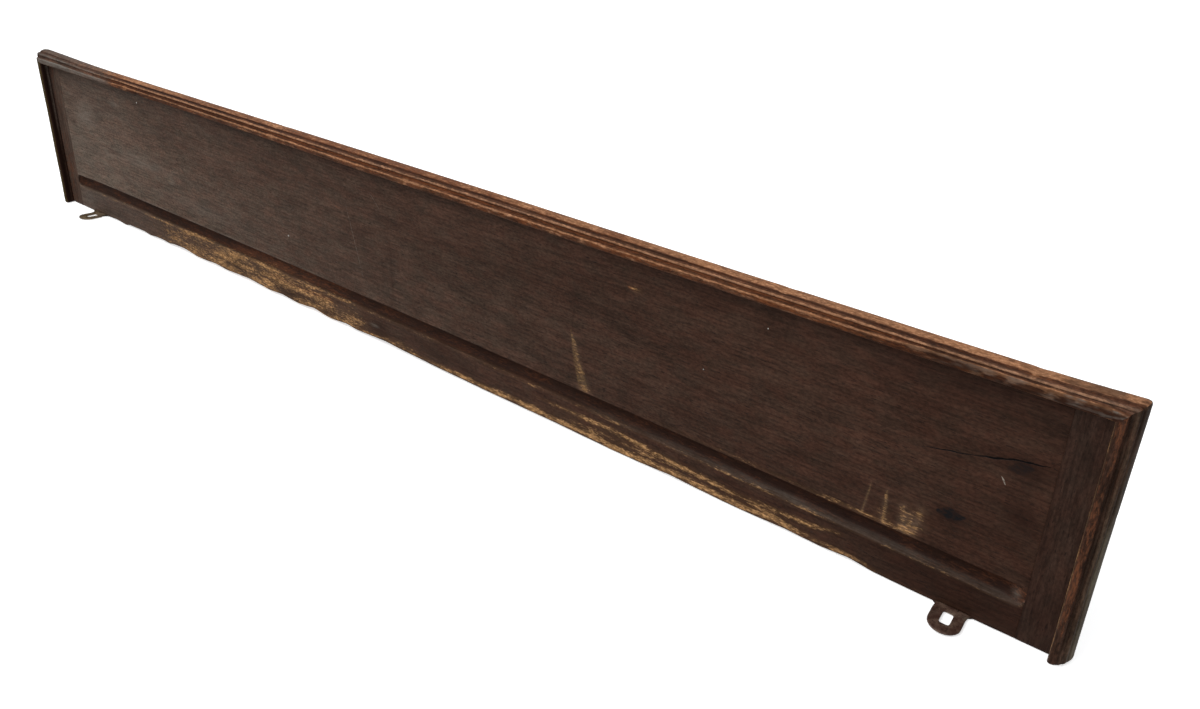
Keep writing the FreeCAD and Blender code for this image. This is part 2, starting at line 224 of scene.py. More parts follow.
class Surface:
    """The tubes of one piece, gathered in millimetres and written as one mesh."""

    def __init__(self) -> None:
        """Starts with nothing."""
        self.points: list[Array] = []
        self.faces: list[list[int]] = []
        self.masks: list[Masks] = []
        self.count = 0

    def tube(self, x: Array, y: Array, z: Array, masks: Masks, closed: bool = False) -> "Surface":
        """Adds a tube: each row is a ring, and the rows follow a path.

        The signed volume, a sixth of the sum of a . (b x c) over the triangles, tells whether the
        faces point outward, and turns them all where they don't.

        Args:
            x: places in the shape (rows, points per ring), or one that broadcasts to it.
            y: places in the same shape.
            z: places in the same shape.
            masks: values in the same shape under each name.
            closed: joins the last ring to the first; otherwise both ends get a cap.
        Returns:
            This surface.
        """
        rows = np.stack(np.broadcast_arrays(x, y, z), axis=-1)
        length, ring = rows.shape[:2]
        index = np.arange(length * ring).reshape(length, ring)
        if closed:
            index = np.concatenate([index, index[:1]])
        following = np.roll(index, -1, axis=1)
        quads = np.stack([index[:-1], following[:-1], following[1:], index[1:]], axis=-1).reshape(-1, 4)
        caps = [] if closed else [index[0][::-1], index[-1]]
        flat = rows.reshape(-1, 3)
        triangles = [quads[:, [0, 1, 2]], quads[:, [0, 2, 3]]]
        triangles += [np.stack([np.full(ring - 2, cap[0]), cap[1:-1], cap[2:]], axis=1) for cap in caps]
        a, b, c = (flat[np.concatenate(triangles)[:, corner]] for corner in range(3))
        if np.einsum("ij,ij->", a, np.cross(b, c)) < 0:
            quads = quads[:, ::-1]
            caps = [cap[::-1] for cap in caps]
        self.faces += (quads + self.count).tolist() + [(cap + self.count).tolist() for cap in caps]
        self.points.append(flat)
        self.masks.append({name: np.broadcast_to(values, (length, ring)).ravel()
                           for name, values in masks.items()})
        self.count += len(flat)
        return self

    def piece(self, node: str, slot: str, finish: Material, sharp: float = 34) -> None:
        """Writes the mesh as the piece that stands for one CAD node.

        Args:
            node: the node that it replaces and is named after.
            slot: not used.
            finish: its material.
            sharp: edges turned by more degrees than this stay sharp.
        """
        mesh = bpy.data.meshes.new(node + "_looks")
        mesh.from_pydata(np.concatenate(self.points) * MM, [], self.faces)
        for name in sorted({name for masks in self.masks for name in masks}):
            values = [masks.get(name, np.zeros(len(flat))) for masks, flat in zip(self.masks, self.points)]
            attribute = mesh.attributes.new(name, "FLOAT", "POINT")
            attribute.data.foreach_set("value", np.clip(np.concatenate(values), 0, 1))
        mesh.shade_smooth()
        mesh.set_sharp_from_angle(angle=math.radians(sharp))
        mesh.materials.append(finish)
        mesh.validate()
        made = placed(node + "_looks", mesh)
        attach(made, "root")
        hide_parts(node)
        log.info("%s: %d faces", made.name, len(mesh.polygons))


# Materials

class Pattern(Enum):
    """A soft noise: its patches per metre along each axis, then detail, roughness and bending."""

    FIGURE = ((2.6, 21, 21), 4, 0.55, 0.9)
    BANDS = ((1.6, 68, 68), 3, 0.6, 0.5)
    FIBRE = ((42, 560, 560), 4, 0.6, 0.25)
    GRIT = ((330, 560, 560), 3, 0.65, 0)
    MOTTLE = ((30, 70, 70), 4, 0.62, 0.5)
    HUE = ((58, 120, 120), 3, 0.6, 0.3)
    DASHES = ((150, 1150, 1150), 2, 0.5, 0)
    FLECKS = ((210, 860, 860), 5, 0.7, 0.5)
    FIELDS = ((34, 150, 150), 4, 0.6, 0.5)
    SAND = ((900, 900, 900), 4, 0.6, 0)
    RUST = ((70, 70, 70), 5, 0.6, 0.4)
    SCALE = ((160, 160, 160), 5, 0.66, 0.3)
    PITS = ((950, 950, 950), 3, 0.55, 0)
    PAPER = ((3, 3, 3), 3, 0.5, 0)


class Grain(Enum):
    """The direction of the wood's fibres, as the turn that brings it onto X."""

    ALONG_X = (0, 0, 0)
    ALONG_Y = (0, 0, -math.pi / 2)
    ALONG_Z = (0, math.pi / 2, 0)


class Graph:
    """A node tree written as it is read: every call adds a node and gives its output."""

    def __init__(self, tree: bpy.types.NodeTree) -> None:
        """Takes the tree that the nodes go into."""
        self.tree = tree

    def node(self, kind: str, feeds: Optional[dict] = None, **settings: Any) -> bpy.types.Node:
        """Adds a node, sets its options, and links or sets its inputs.

        Args:
            kind: the node's type.
            feeds: a socket to link or a value to set, under each input's name or number.
            **settings: options of the node.
        Returns:
            The node.
        """
        made = self.tree.nodes.new(kind)
        for key, value in settings.items():
            setattr(made, key, value)
        for key, value in (feeds or {}).items():
            self.feed(made.inputs[key], value)
        return made

    def feed(self, socket: Socket, value: Any) -> None:
        """Links the value to the socket where it is a socket, and sets it otherwise.

        Args:
            socket: the input.
            value: an output, or a plain value.
        """
        if isinstance(value, bpy.types.NodeSocket):
            self.tree.links.new(value, socket)
        else:
            socket.default_value = value

    def math(self, operation: str, first: Any, second: Any = 0, third: Any = 0) -> Socket:
        """The result of a sum on one, two or three numbers."""
        return self.node("ShaderNodeMath", {0: first, 1: second, 2: third}, operation=operation).outputs[0]

    def times_plus(self, first: Any, factor: Any, added: Any) -> Socket:
        """The first number times a factor, plus another."""
        return self.math("MULTIPLY_ADD", first, factor, added)

    def product(self, first: Any, *factors: Any) -> Socket:
        """All the factors multiplied."""
        return functools.reduce(lambda result, factor: self.math("MULTIPLY", result, factor), factors, first)

    def vector(self, operation: str, first: Any, second: Any = (0, 0, 0), output: Any = 0) -> Socket:
        """What a sum on vectors gives: a vector, or the number of the output called Value."""
        return self.node("ShaderNodeVectorMath", {0: first, 1: second}, operation=operation).outputs[output]

    def scale(self, first: Any, factor: Any) -> Socket:
        """A vector or colour times a number."""
        return self.node("ShaderNodeVectorMath", {0: first, 3: factor}, operation="SCALE").outputs[0]

    def noise(self, place: Any, pattern: Pattern) -> Socket:
        """Soft noise over a place.

        Args:
            place: where the noise is read.
            pattern: which noise it is.
        Returns:
            Shares round one half.
        """
        stretch, detail, rough, bending = pattern.value
        feeds = {"Vector": self.vector("MULTIPLY", place, stretch), "Scale": 1, "Detail": detail,
                 "Roughness": rough, "Distortion": bending}
        return self.node("ShaderNodeTexNoise", feeds).outputs["Fac"]

    def ease(self, value: Any, low: Any, high: Any, first: Any = 0, last: Any = 1) -> Socket:
        """Eases from first at low to last at high."""
        feeds = {"Value": value, "From Min": low, "From Max": high, "To Min": first, "To Max": last}
        return self.node("ShaderNodeMapRange", feeds, interpolation_type="SMOOTHSTEP").outputs[0]

    def blend(self, share: Any, first: Any, second: Any) -> Socket:
        """Mixes two colours, from the first at share 0 to the second at share 1."""
        return self.node("ShaderNodeMix", {0: share, 6: first, 7: second}, data_type="RGBA").outputs[2]

    def mask(self, name: str) -> Socket:
        """The piece's own values of that name, or 0 where it has none."""
        return self.node("ShaderNodeAttribute", attribute_name=name).outputs["Fac"]

    def place(self) -> Socket:
        """Object coordinates, in metres."""
        return self.node("ShaderNodeTexCoord").outputs["Object"]

    def turned(self, place: Socket, grain: Grain) -> Socket:
        """The place with the wood's fibres brought onto X."""
        return self.node("ShaderNodeMapping", {"Vector": place, "Rotation": grain.value}).outputs[0]


class Effect:
    """A node group with named inputs and outputs, built once and placed in many materials."""

    made: dict[str, bpy.types.NodeTree] = {}

    def __init__(self, name: str, inputs: dict[str, tuple[str, Any]], outputs: tuple[str, ...],
                 write: Callable[[Graph, Sockets], Sockets]) -> None:
        """Names the group, its inputs by kind and default, its outputs, and what writes its nodes."""
        self.name, self.inputs, self.outputs, self.write = name, inputs, outputs, write

    def place(self, graph: Graph, **feeds: Any) -> Sockets:
        """Puts the group into a material.

        Args:
            graph: the material's tree.
            **feeds: a socket or a value for each input.
        Returns:
            Its outputs by name.
        """
        if self.name not in Effect.made:
            Effect.made[self.name] = self._build()
        node = graph.node("ShaderNodeGroup", node_tree=Effect.made[self.name])
        for key, value in feeds.items():
            graph.feed(node.inputs[key], value)
        return {name: node.outputs[name] for name in self.outputs}

    def _build(self) -> bpy.types.NodeTree:
        """Makes the tree and its sockets.

        Returns:
            The tree.
        """
        tree = bpy.data.node_groups.new(self.name, "ShaderNodeTree")
        for name, (kind, value) in self.inputs.items():
            socket = tree.interface.new_socket(name, in_out="INPUT", socket_type=kind)
            if value is not None:
                socket.default_value = value
        for name in self.outputs:
            tree.interface.new_socket(name, in_out="OUTPUT", socket_type="NodeSocketFloat")
        source = tree.nodes.new("NodeGroupInput")
        sink = tree.nodes.new("NodeGroupOutput")
        results = self.write(Graph(tree), {name: source.outputs[name] for name in self.inputs})
        for name, socket in results.items():
            tree.links.new(socket, sink.inputs[name])
        return tree


def write_grain(graph: Graph, given: Sockets) -> Sockets:
    """Wood grain along X: figure, bands, fibre, short dark pores in bands, and the shade of all.

    Shade is the product of three noises, eased round 1: fine fibre, grit, and hand-wide mottle.
    Pores are the dashes above a level that falls where the bands rise.

    Args:
        graph: the group's tree.
        given: its inputs by name.
    Returns:
        Its outputs by name.
    """
    figure, bands, fibre, grit, mottle, hue, dashes = (graph.noise(given["Place"], pattern) for pattern in (
        Pattern.FIGURE, Pattern.BANDS, Pattern.FIBRE, Pattern.GRIT, Pattern.MOTTLE, Pattern.HUE,
        Pattern.DASHES))
    crowded = graph.times_plus(bands, -0.16, 0.7)
    pores = graph.ease(dashes, crowded, graph.math("ADD", crowded, 0.07))
    shade = graph.product(graph.ease(fibre, 0.3, 0.7, 0.72, 1.33), graph.ease(grit, 0.28, 0.72, 0.7, 1.36),
                          graph.ease(mottle, 0.32, 0.68, 0.84, 1.18))
    return {"Figure": graph.ease(figure, 0.3, 0.7), "Bands": graph.ease(bands, 0.32, 0.68),
            "Fibre": graph.ease(fibre, 0.25, 0.75), "Grit": graph.ease(grit, 0.3, 0.7), "Pores": pores,
            "Hue": graph.ease(hue, 0.32, 0.68), "Shade": shade}


def write_breakup(graph: Graph, given: Sockets) -> Sockets:
    """Turns a soft amount into ragged patches of fine flecks that lie along the grain.

    Two noises less their mean are added to the amount, and the sum is eased to a mask.

    Args:
        graph: the group's tree.
        given: its inputs by name.
    Returns:
        Its outputs by name.
    """
    flecks = graph.noise(given["Place"], Pattern.FLECKS)
    fields = graph.noise(given["Place"], Pattern.FIELDS)
    level = given["Amount"]
    for noise, weight in ((flecks, 1.6), (fields, 1.4)):
        level = graph.times_plus(graph.math("SUBTRACT", noise, 0.5), weight, level)
    level = graph.math("MULTIPLY", level, graph.ease(given["Amount"], 0.02, 0.2))
    return {"Mask": graph.ease(level, 0.3, 0.82), "Flecks": graph.ease(flecks, 0.32, 0.68)}


def write_hairline(graph: Graph, given: Sockets) -> Sockets:
    """A ragged line between two points: near where the distance to the segment is under its width.

    Height counts for three tenths, which keeps the line off the board's underside. The foot on the
    segment is the dot product with it over its square, held between 0 and 1; the width falls to a
    quarter at both ends.

    Args:
        graph: the group's tree.
        given: its inputs by name.
    Returns:
        Its outputs by name.
    """
    shake = graph.node("ShaderNodeTexNoise", {"Vector": given["Place"], "Scale": 130, "Detail": 3}).outputs[1]
    shake = graph.scale(graph.vector("SUBTRACT", shake, (0.5, 0.5, 0.5)), given["Shake"])
    offset = graph.vector("SUBTRACT", graph.vector("ADD", given["Place"], shake), given["Start"])
    offset = graph.vector("MULTIPLY", offset, (1, 1, 0.3))
    along = graph.vector("SUBTRACT", given["End"], given["Start"])
    over, under = (graph.vector("DOT_PRODUCT", way, along, "Value") for way in (offset, along))
    foot = graph.math("MINIMUM", graph.math("MAXIMUM", graph.math("DIVIDE", over, under), 0), 1)
    gap = graph.vector("LENGTH", graph.vector("SUBTRACT", offset, graph.scale(along, foot)), output="Value")
    middle = graph.math("ABSOLUTE", graph.times_plus(foot, 2, -1))
    width = graph.math("MULTIPLY", given["Width"], graph.times_plus(middle, -0.75, 1))
    return {"Mask": graph.ease(gap, graph.math("MULTIPLY", width, 0.3), width, 1, 0)}


def write_board_edge(graph: Graph, given: Sockets) -> Sockets:
    """How near a point of an upright board is to its outline, a rectangle with round corners.

    The distance inward is the corner radius less the length beyond the corner's centre, less the
    larger of the two distances where that is negative.

    Args:
        graph: the group's tree.
        given: its inputs by name.
    Returns:
        Its outputs by name.
    """
    centred = graph.vector("ABSOLUTE", graph.vector("SUBTRACT", given["Place"], given["Centre"]))
    beyond = graph.vector("SUBTRACT", centred, given["Inner half"])
    parts = graph.node("ShaderNodeSeparateXYZ", {0: beyond})
    outside = graph.vector("MAXIMUM", graph.vector("MULTIPLY", beyond, (1, 0, 1)))
    deep = graph.math("MINIMUM", graph.math("MAXIMUM", parts.outputs[0], parts.outputs[2]), 0)
    reach = graph.math("SUBTRACT", given["Corner"], graph.vector("LENGTH", outside, output="Value"))
    inward = graph.math("SUBTRACT", reach, deep)
    gap = graph.math("ABSOLUTE", graph.math("SUBTRACT", inward, given["Chamfer"]))
    rim = graph.math("MINIMUM", gap, graph.math("ABSOLUTE", inward))
    return {"Edge": graph.ease(rim, 0.0002, 0.0028, 1, 0)}


PLACE = ("NodeSocketVector", None)
LENGTH = ("NodeSocketFloat", 0.001)
GRAIN = Effect("long grain", {"Place": PLACE},
               ("Figure", "Bands", "Fibre", "Grit", "Pores", "Hue", "Shade"), write_grain)
BREAKUP = Effect("worn flecks", {"Place": PLACE, "Amount": ("NodeSocketFloat", 0.0)}, ("Mask", "Flecks"),
                 write_breakup)
HAIRLINE = Effect("hairline", {
    "Place": PLACE, "Start": PLACE, "End": PLACE, "Width": LENGTH, "Shake": LENGTH}, ("Mask",),
    write_hairline)
BOARD_EDGE = Effect("board edge", {
    "Place": PLACE, "Centre": PLACE, "Inner half": PLACE, "Corner": ("NodeSocketFloat", 0.02),
    "Chamfer": ("NodeSocketFloat", 0.004)}, ("Edge",), write_board_edge)


class Mark(Enum):
    """What a hairline on the wood is, as its colour."""

    CRACK = rgb(0.003, 0.002, 0.002)
    BARE = rgb(0.255, 0.15, 0.062)
    PALE = rgb(0.34, 0.29, 0.24)
    RUBBED = rgb(0.13, 0.098, 0.076)
    DUST = rgb(0.62, 0.6, 0.56)
    INK = rgb(0.01, 0.0088, 0.0095)


@dataclass(frozen=True)
class Hairline:
    """A crack, scratch or dot between two points of the panel's top, in millimetres."""

    start: Point
    end: Point
    width: float
    kind: Mark
    shake: float = 1.0
    strength: float = 1.0


@dataclass(frozen=True)
class BoardEdge:
    """The outline of an upright board with round corners, in millimetres, and how worn it is."""

    centre: Triple = (0.0, 0.0, -58.0)
    half: Point = (566.0, 125.0)
    corner: float = 26.0
    chamfer: float = 4.0
    wear: float = 0.50

    def amount(self, graph: Graph, place: Socket) -> Socket:
        """The wear near the board's outline and near the inner line of its chamfer.

        Args:
            graph: the material's tree.
            place: Object coordinates.
        Returns:
            Its amount.
        """
        half_x, half_z = self.half
        inner = ((half_x - self.corner) * MM, 1, (half_z - self.corner) * MM)
        feeds = {"Place": place, "Centre": tuple(value * MM for value in self.centre), "Inner half": inner,
                 "Corner": self.corner * MM, "Chamfer": self.chamfer * MM}
        return graph.product(BOARD_EDGE.place(graph, **feeds)["Edge"], self.wear)


@dataclass(frozen=True)
class Finish:
    """A procedural material, whose nodes each kind of finish writes.

    relief is the strength and the depth in metres of its bumps.
    """

    name: str
    relief: Point = (0.5, 0.0003)
    specular: float = 0.5
    one_sided: bool = False

    def nodes(self, graph: Graph) -> dict[str, Any]:
        """Writes the nodes, and gives what feeds the shader, with the bumps' height under Height."""
        raise NotImplementedError

    def material(self) -> Material:
        """Makes a material of the finish's nodes and one Principled BSDF.

        Returns:
            The material.
        """
        material = bpy.data.materials.new(self.name)
        material.use_nodes = True
        material.node_tree.nodes.clear()
        graph = Graph(material.node_tree)
        feeds = self.nodes(graph) | {"Specular IOR Level": self.specular}
        if "Height" in feeds:
            strength, depth = self.relief
            bumps = {"Height": feeds.pop("Height"), "Strength": strength, "Distance": depth}
            feeds["Normal"] = graph.node("ShaderNodeBump", bumps).outputs[0]
        surface = graph.node("ShaderNodeBsdfPrincipled", feeds).outputs[0]
        if self.one_sided:
            clear = graph.node("ShaderNodeBsdfTransparent").outputs[0]
            behind = graph.node("ShaderNodeNewGeometry").outputs["Backfacing"]
            surface = graph.node("ShaderNodeMixShader", {0: behind, 1: surface, 2: clear}).outputs[0]
        graph.node("ShaderNodeOutputMaterial", {0: surface})
        return material


@dataclass(frozen=True)
class OldOak(Finish):
    """Dark stained old wood: long grain and pores, bare worn edges, soil and painted shade in the hollows,
    dull haze and painted sheen.

    The piece's own masks say where: fade is paler wood, ruddy is rubbed reddish wood, wear is bare
    golden wood, soil is dirt and old polish and in places painted shade, and haze
    is a grey bloom over everything and in places painted highlights, reflections and sheen.
    """

    relief: Point = (0.6, 0.00035)
    specular: float = 0.06
    grain: Grain = Grain.ALONG_X
    dark: Colour = rgb(0.036, 0.0165, 0.0105)
    light: Colour = rgb(0.053, 0.026, 0.017)
    pore: Colour = rgb(0.013, 0.007, 0.0055)
    warm: Colour = rgb(1.07, 0.97, 0.95)
    cool: Colour = rgb(0.95, 1.01, 1.02)
    faded: Colour = rgb(0.165, 0.12, 0.09)
    ruddy: Colour = rgb(0.185, 0.066, 0.03)
    old_ruddy: Colour = rgb(0.105, 0.04, 0.022)
    gold: Colour = rgb(0.36, 0.185, 0.078)
    old_gold: Colour = rgb(0.15, 0.072, 0.03)
    soil: Colour = rgb(0.016, 0.0065, 0.0045)
    haze: Colour = rgb(0.175, 0.16, 0.14)
    contrast: float = 1.0
    roughness: tuple[float, float] = (0.40, 0.56)
    hairlines: tuple[Hairline, ...] = ()
    top: float = SHELF_TOP
    edge: Optional[BoardEdge] = None

    def nodes(self, graph: Graph) -> dict[str, Any]:
        """Lays the layers over each other: wood, ruddy wood, bare wood, soil and painted shade, haze and
        painted sheen, hairlines.

        Args:
            graph: the material's tree.
        Returns:
            What feeds the shader.
        """
        place = graph.place()
        turned = graph.turned(place, self.grain)
        grain = GRAIN.place(graph, Place=turned)
        amount = self.edge.amount(graph, place) if self.edge else graph.mask("wear")
        worn = BREAKUP.place(graph, Place=turned, Amount=amount)
        rubbed = BREAKUP.place(graph, Place=turned, Amount=graph.mask("ruddy"))
        # soil carries dirt and painted shade; haze carries bloom and painted highlights and sheen
        soil_and_shade_share = graph.product(graph.mask("soil"), graph.ease(grain["Grit"], 0, 1, 0.8, 1))
        haze_and_sheen_share = graph.product(graph.mask("haze"), graph.ease(grain["Grit"], 0, 1, 0.7, 1),
                              graph.ease(grain["Fibre"], 0.1, 0.9, 0.55, 1.15))
        colour = graph.blend(rubbed["Mask"], self._wood(graph, grain),
                             graph.blend(rubbed["Flecks"], self.old_ruddy, self.ruddy))
        bright = graph.product(graph.ease(grain["Grit"], 0.1, 0.9, 0.4, 1),
                               graph.ease(worn["Flecks"], 0, 1, 0.35, 1))
        bare = graph.scale(graph.blend(bright, self.old_gold, self.gold),
                           graph.math("POWER", grain["Shade"], 0.6))
        layers = ((graph.product(amount, 0.42), self.old_gold), (worn["Mask"], bare), (soil_and_shade_share, self.soil),
                  (haze_and_sheen_share, self.haze))
        for share, layer in layers:
            colour = graph.blend(share, colour, layer)
        relief = graph.product(grain["Fibre"], 0.5)
        for height, weight in ((grain["Pores"], -0.9), (grain["Grit"], 0.35), (worn["Mask"], -0.6)):
            relief = graph.times_plus(height, weight, relief)
        for line in self.hairlines:
            mark = self._mark(graph, line, place, grain, worn)
            colour = graph.blend(mark, colour, line.kind.value)
            relief = graph.times_plus(mark, -3 if line.kind is Mark.CRACK else -0.4, relief)
        rough = graph.ease(grain["Bands"], 0, 1, *self.roughness)
        dull = graph.math("MAXIMUM", worn["Mask"], soil_and_shade_share)
        return {"Base Color": colour, "Roughness": graph.times_plus(dull, 0.22, rough), "Height": relief}

    def _wood(self, graph: Graph, grain: Sockets) -> Socket:
        """The stained wood itself: figure, fading, shade, hue and pores.

        Args:
            graph: the material's tree.
            grain: the grain's outputs.
        Returns:
            Its colour.
        """
        faded = graph.product(graph.mask("fade"), graph.ease(grain["Bands"], 0, 1, 0.9, 1.06))
        colour = graph.blend(faded, graph.blend(grain["Figure"], self.dark, self.light), self.faded)
        colour = graph.scale(colour, graph.math("POWER", grain["Shade"], self.contrast))
        colour = graph.vector("MULTIPLY", colour, graph.blend(grain["Hue"], self.warm, self.cool))
        return graph.blend(graph.product(grain["Pores"], 0.7), colour, self.pore)

    def _mark(self, graph: Graph, line: Hairline, place: Socket, grain: Sockets, worn: Sockets) -> Socket:
        """How far one hairline covers the wood, broken up by grit and, where it is bare, by flecks.

        Args:
            graph: the material's tree.
            line: the hairline.
            place: Object coordinates.
            grain: the grain's outputs.
            worn: the outputs of the worn flecks.
        Returns:
            The mark's share.
        """
        start, end = (tuple(value * MM for value in (*point, self.top)) for point in (line.start, line.end))
        mark = HAIRLINE.place(graph, Place=place, Start=start, End=end, Width=line.width * MM,
                              Shake=line.shake * MM)["Mask"]
        if line.kind is not Mark.CRACK:
            mark = graph.product(mark, graph.ease(grain["Grit"], 0.05, 0.75, 0.3, 1), line.strength)
        if line.kind is Mark.BARE:
            mark = graph.product(mark, graph.ease(worn["Flecks"], 0.1, 0.75, 0.15, 1.2))
        return mark


@dataclass(frozen=True)
class CastIron(Finish):
    """Black-brown cast iron: sandy skin, rust in clouds, bare grey metal where coats rub."""

    relief: Point = (0.35, 0.0003)
    dark: Colour = rgb(0.02, 0.0155, 0.0135)
    sandy: Colour = rgb(0.04, 0.032, 0.028)
    rust: Colour = rgb(0.085, 0.034, 0.016)
    bare: Colour = rgb(0.3, 0.27, 0.24)

    def nodes(self, graph: Graph) -> dict[str, Any]:
        """Writes the nodes from a sandy noise, a rust noise and the piece's wear.

        Args:
            graph: the material's tree.
        Returns:
            What feeds the shader.
        """
        place = graph.place()
        sand, cloud = graph.noise(place, Pattern.SAND), graph.noise(place, Pattern.RUST)
        worn = BREAKUP.place(graph, Place=place, Amount=graph.mask("wear"))["Mask"]
        rusted = graph.ease(graph.times_plus(graph.mask("soil"), 0.22, cloud), 0.56, 0.72)
        colour = graph.blend(graph.ease(sand, 0.35, 0.65), self.dark, self.sandy)
        colour = graph.blend(graph.product(rusted, 0.75), colour, self.rust)
        rough = graph.times_plus(rusted, 0.3, graph.ease(sand, 0.2, 0.8, 0.38, 0.58))
        return {"Base Color": graph.blend(worn, colour, self.bare), "Roughness": rough,
                "Metallic": graph.times_plus(worn, 0.75, 0.2),
                "Height": graph.times_plus(cloud, 0.8, sand)}


@dataclass(frozen=True)
class RustySteel(Finish):
    """Flat steel gone red-brown: clouds of rust, paler scale, dark pits, rubbed bright near edges."""

    rust: Colour = rgb(0.085, 0.04, 0.028)
    scale: Colour = rgb(0.165, 0.098, 0.068)
    pit: Colour = rgb(0.022, 0.011, 0.008)
    bare: Colour = rgb(0.36, 0.27, 0.2)

    def nodes(self, graph: Graph) -> dict[str, Any]:
        """Writes the nodes from clouds, pits and the piece's wear.

        Args:
            graph: the material's tree.
        Returns:
            What feeds the shader.
        """
        place = graph.place()
        cloud, pitted = graph.noise(place, Pattern.SCALE), graph.noise(place, Pattern.PITS)
        worn = BREAKUP.place(graph, Place=place, Amount=graph.mask("wear"))["Mask"]
        colour = graph.blend(graph.ease(cloud, 0.38, 0.62), self.rust, self.scale)
        colour = graph.blend(graph.ease(pitted, 0.54, 0.7), colour, self.pit)
        colour = graph.blend(worn, colour, self.bare)
        colour = graph.blend(graph.product(graph.mask("soil"), 0.85), colour, self.pit)
        return {"Base Color": colour, "Roughness": graph.ease(cloud, 0.3, 0.7, 0.42, 0.66),
                "Metallic": graph.times_plus(worn, 0.5, 0.25),
                "Height": graph.times_plus(pitted, -1, cloud)}


@dataclass(frozen=True)
class DowelWood(Finish):
    """Pale bare wood of dowels: long fibre and a few pores."""

    relief: Point = (0.3, 0.0002)
    dark: Colour = rgb(0.3, 0.19, 0.095)
    light: Colour = rgb(0.46, 0.33, 0.19)

    def nodes(self, graph: Graph) -> dict[str, Any]:
        """Writes the nodes, with the fibres along Z.

        Args:
            graph: the material's tree.
        Returns:
            What feeds the shader.
        """
        grain = GRAIN.place(graph, Place=graph.turned(graph.place(), Grain.ALONG_Z))
        colour = graph.blend(grain["Pores"], graph.blend(grain["Fibre"], self.dark, self.light), self.dark)
        return {"Base Color": colour, "Roughness": graph.ease(grain["Fibre"], 0, 1, 0.62, 0.48),
                "Height": grain["Fibre"]}


@dataclass(frozen=True)
class Paper(Finish):
    """White paper with a faint mottle and a glow of its own, clear from behind."""

    specular: float = 0.0
    one_sided: bool = True
    shaded: Colour = rgb(0.93, 0.94, 0.95)
    bright: Colour = rgb(0.96, 0.96, 0.96)
    glow: float = 0.58

    def nodes(self, graph: Graph) -> dict[str, Any]:
        """Writes the nodes from one noise.

        Args:
            graph: the material's tree.
        Returns:
            What feeds the shader.
        """
        mottle = graph.noise(graph.place(), Pattern.PAPER)
        return {"Base Color": graph.blend(mottle, self.shaded, self.bright), "Roughness": 0.9,
                "Emission Color": rgb(1, 1, 1), "Emission Strength": self.glow}


# Marks of the shelf, measured along X and Y

@dataclass(frozen=True)
class Spot:
    """A soft oval mark on the panel's top: its strength, middle and reaches."""

    amount: float
    x: float
    y: float
    reach_x: float
    reach_y: float

    def over(self, x: Array, y: Array) -> Array:
        """A bell along the board times a bell across it."""
        return self.amount * bump(x, self.x, self.reach_x) * bump(y, self.y, self.reach_y)


@dataclass(frozen=True)
class Trail:
    """A wandering band of marks along the panel, through points of x, y, reach and strength."""

    points: tuple[tuple[float, float, float, float], ...]

    def over(self, x: Array, y: Array) -> Array:
        """A bell round the broken line through the points; its reach and strength follow it too."""
        at, middle, reach, amount = np.array(self.points).T
        return np.interp(x, at, amount) * bump(y, np.interp(x, at, middle), np.interp(x, at, reach))


@dataclass(frozen=True)
class Stroke:
    """A bare stroke that runs down to the groove's front lip, with its reach and strength at both ends."""

    top_x: float
    top_y: float
    foot_x: float
    top_reach: float
    foot_reach: float
    top_amount: float
    foot_amount: float

    def over(self, x: Array, y: Array, lip: Array) -> Array:
        """A bell round the slanted line, its reach and strength changing with the square of the way down.

        Args:
            x: places along the board.
            y: places across it.
            lip: the groove's front lip.
        Returns:
            The stroke's strength at each place.
        """
        share = np.clip((y - self.top_y) / (lip - self.top_y), 0, 1)
        reach = self.top_reach + (self.foot_reach - self.top_reach) * share ** 2
        strength = self.top_amount + (self.foot_amount - self.top_amount) * share ** 2
        line = bump(x, self.top_x + (self.foot_x - self.top_x) * share, reach)
        return line * strength * smooth(y, self.top_y - 5, self.top_y + 4)


PANEL_SPOTS = {
    # the knot, the smudge and the dark wood round the near corners; dark bands along the front lip near both
    # ends, a painted shadow of the moulding along with soil; smears on the far part; the dark patches
    # between the bright places of the strip
    "soil": ((0.8, -512.5, -66, 10.5, 5), (0.62, -549, -114, 12, 7), (0.48, -553, -82, 10, 16),
             (0.34, -520, -158, 170, 16), (0.32, 5, -70, 2.2, 24), (0.22, -90, -120, 70, 5),
             (0.6, 550, -103, 5, 5), (0.35, 556, -157, 40, 9), (0.62, 162, -9.5, 26, 5),
             (0.45, 250, -12, 26, 5), (0.6, 27, -13, 15, 8), (0.3, 110, -8, 16, 3.5),
             (0.28, -60, -16, 60, 6), (0.42, 500, -10, 30, 9)),
    # the soft feet of the bare strokes by the groove; bare flecks; the bright places of the strip
    "wear": ((0.66, -471.8, -41.2, 3.8, 3.2), (0.62, -487, -41, 5, 2.8), (0.34, -489, -51, 11, 10),
             (0.34, -471, -46, 7, 7), (0.6, -480, -33.5, 6, 1.2), (0.46, 357, -78.5, 4.5, 1.8),
             (0.52, -262, -141, 6, 2.2), (0.8, 338, -26, 16, 3), (0.78, 343, -11, 7, 3.4),
             (0.8, 252, -23, 26, 4), (0.75, 292, -9, 10, 2.6), (0.88, 197, -10, 10, 5),
             (0.78, 216, -7, 14, 2.4), (0.76, 140, -16, 22, 3), (0.64, 66, -12, 24, 8),
             (0.34, -272, -11.5, 62, 5), (0.34, -375, -9.5, 42, 4), (0.34, -215, -9, 40, 5),
             (0.46, 10, -8, 30, 4)),
    # pale smears on the far part, and pale flecks on the strip
    "haze": ((0.55, 522, -118, 20, 12), (0.5, 450, -143, 9, 2.4), (0.62, 355, -78, 6.5, 2.6),
             (0.34, 410, -88, 46, 8), (0.25, 300, -60, 60, 7), (0.55, 33, -16, 5, 1.6),
             (0.24, 550, -14, 15, 10)),
    "ruddy": ((0.62, -259, -141, 7, 2.4), (0.16, 60, -120, 60, 18),
              (0.12, -330, -90, 90, 20)),
}

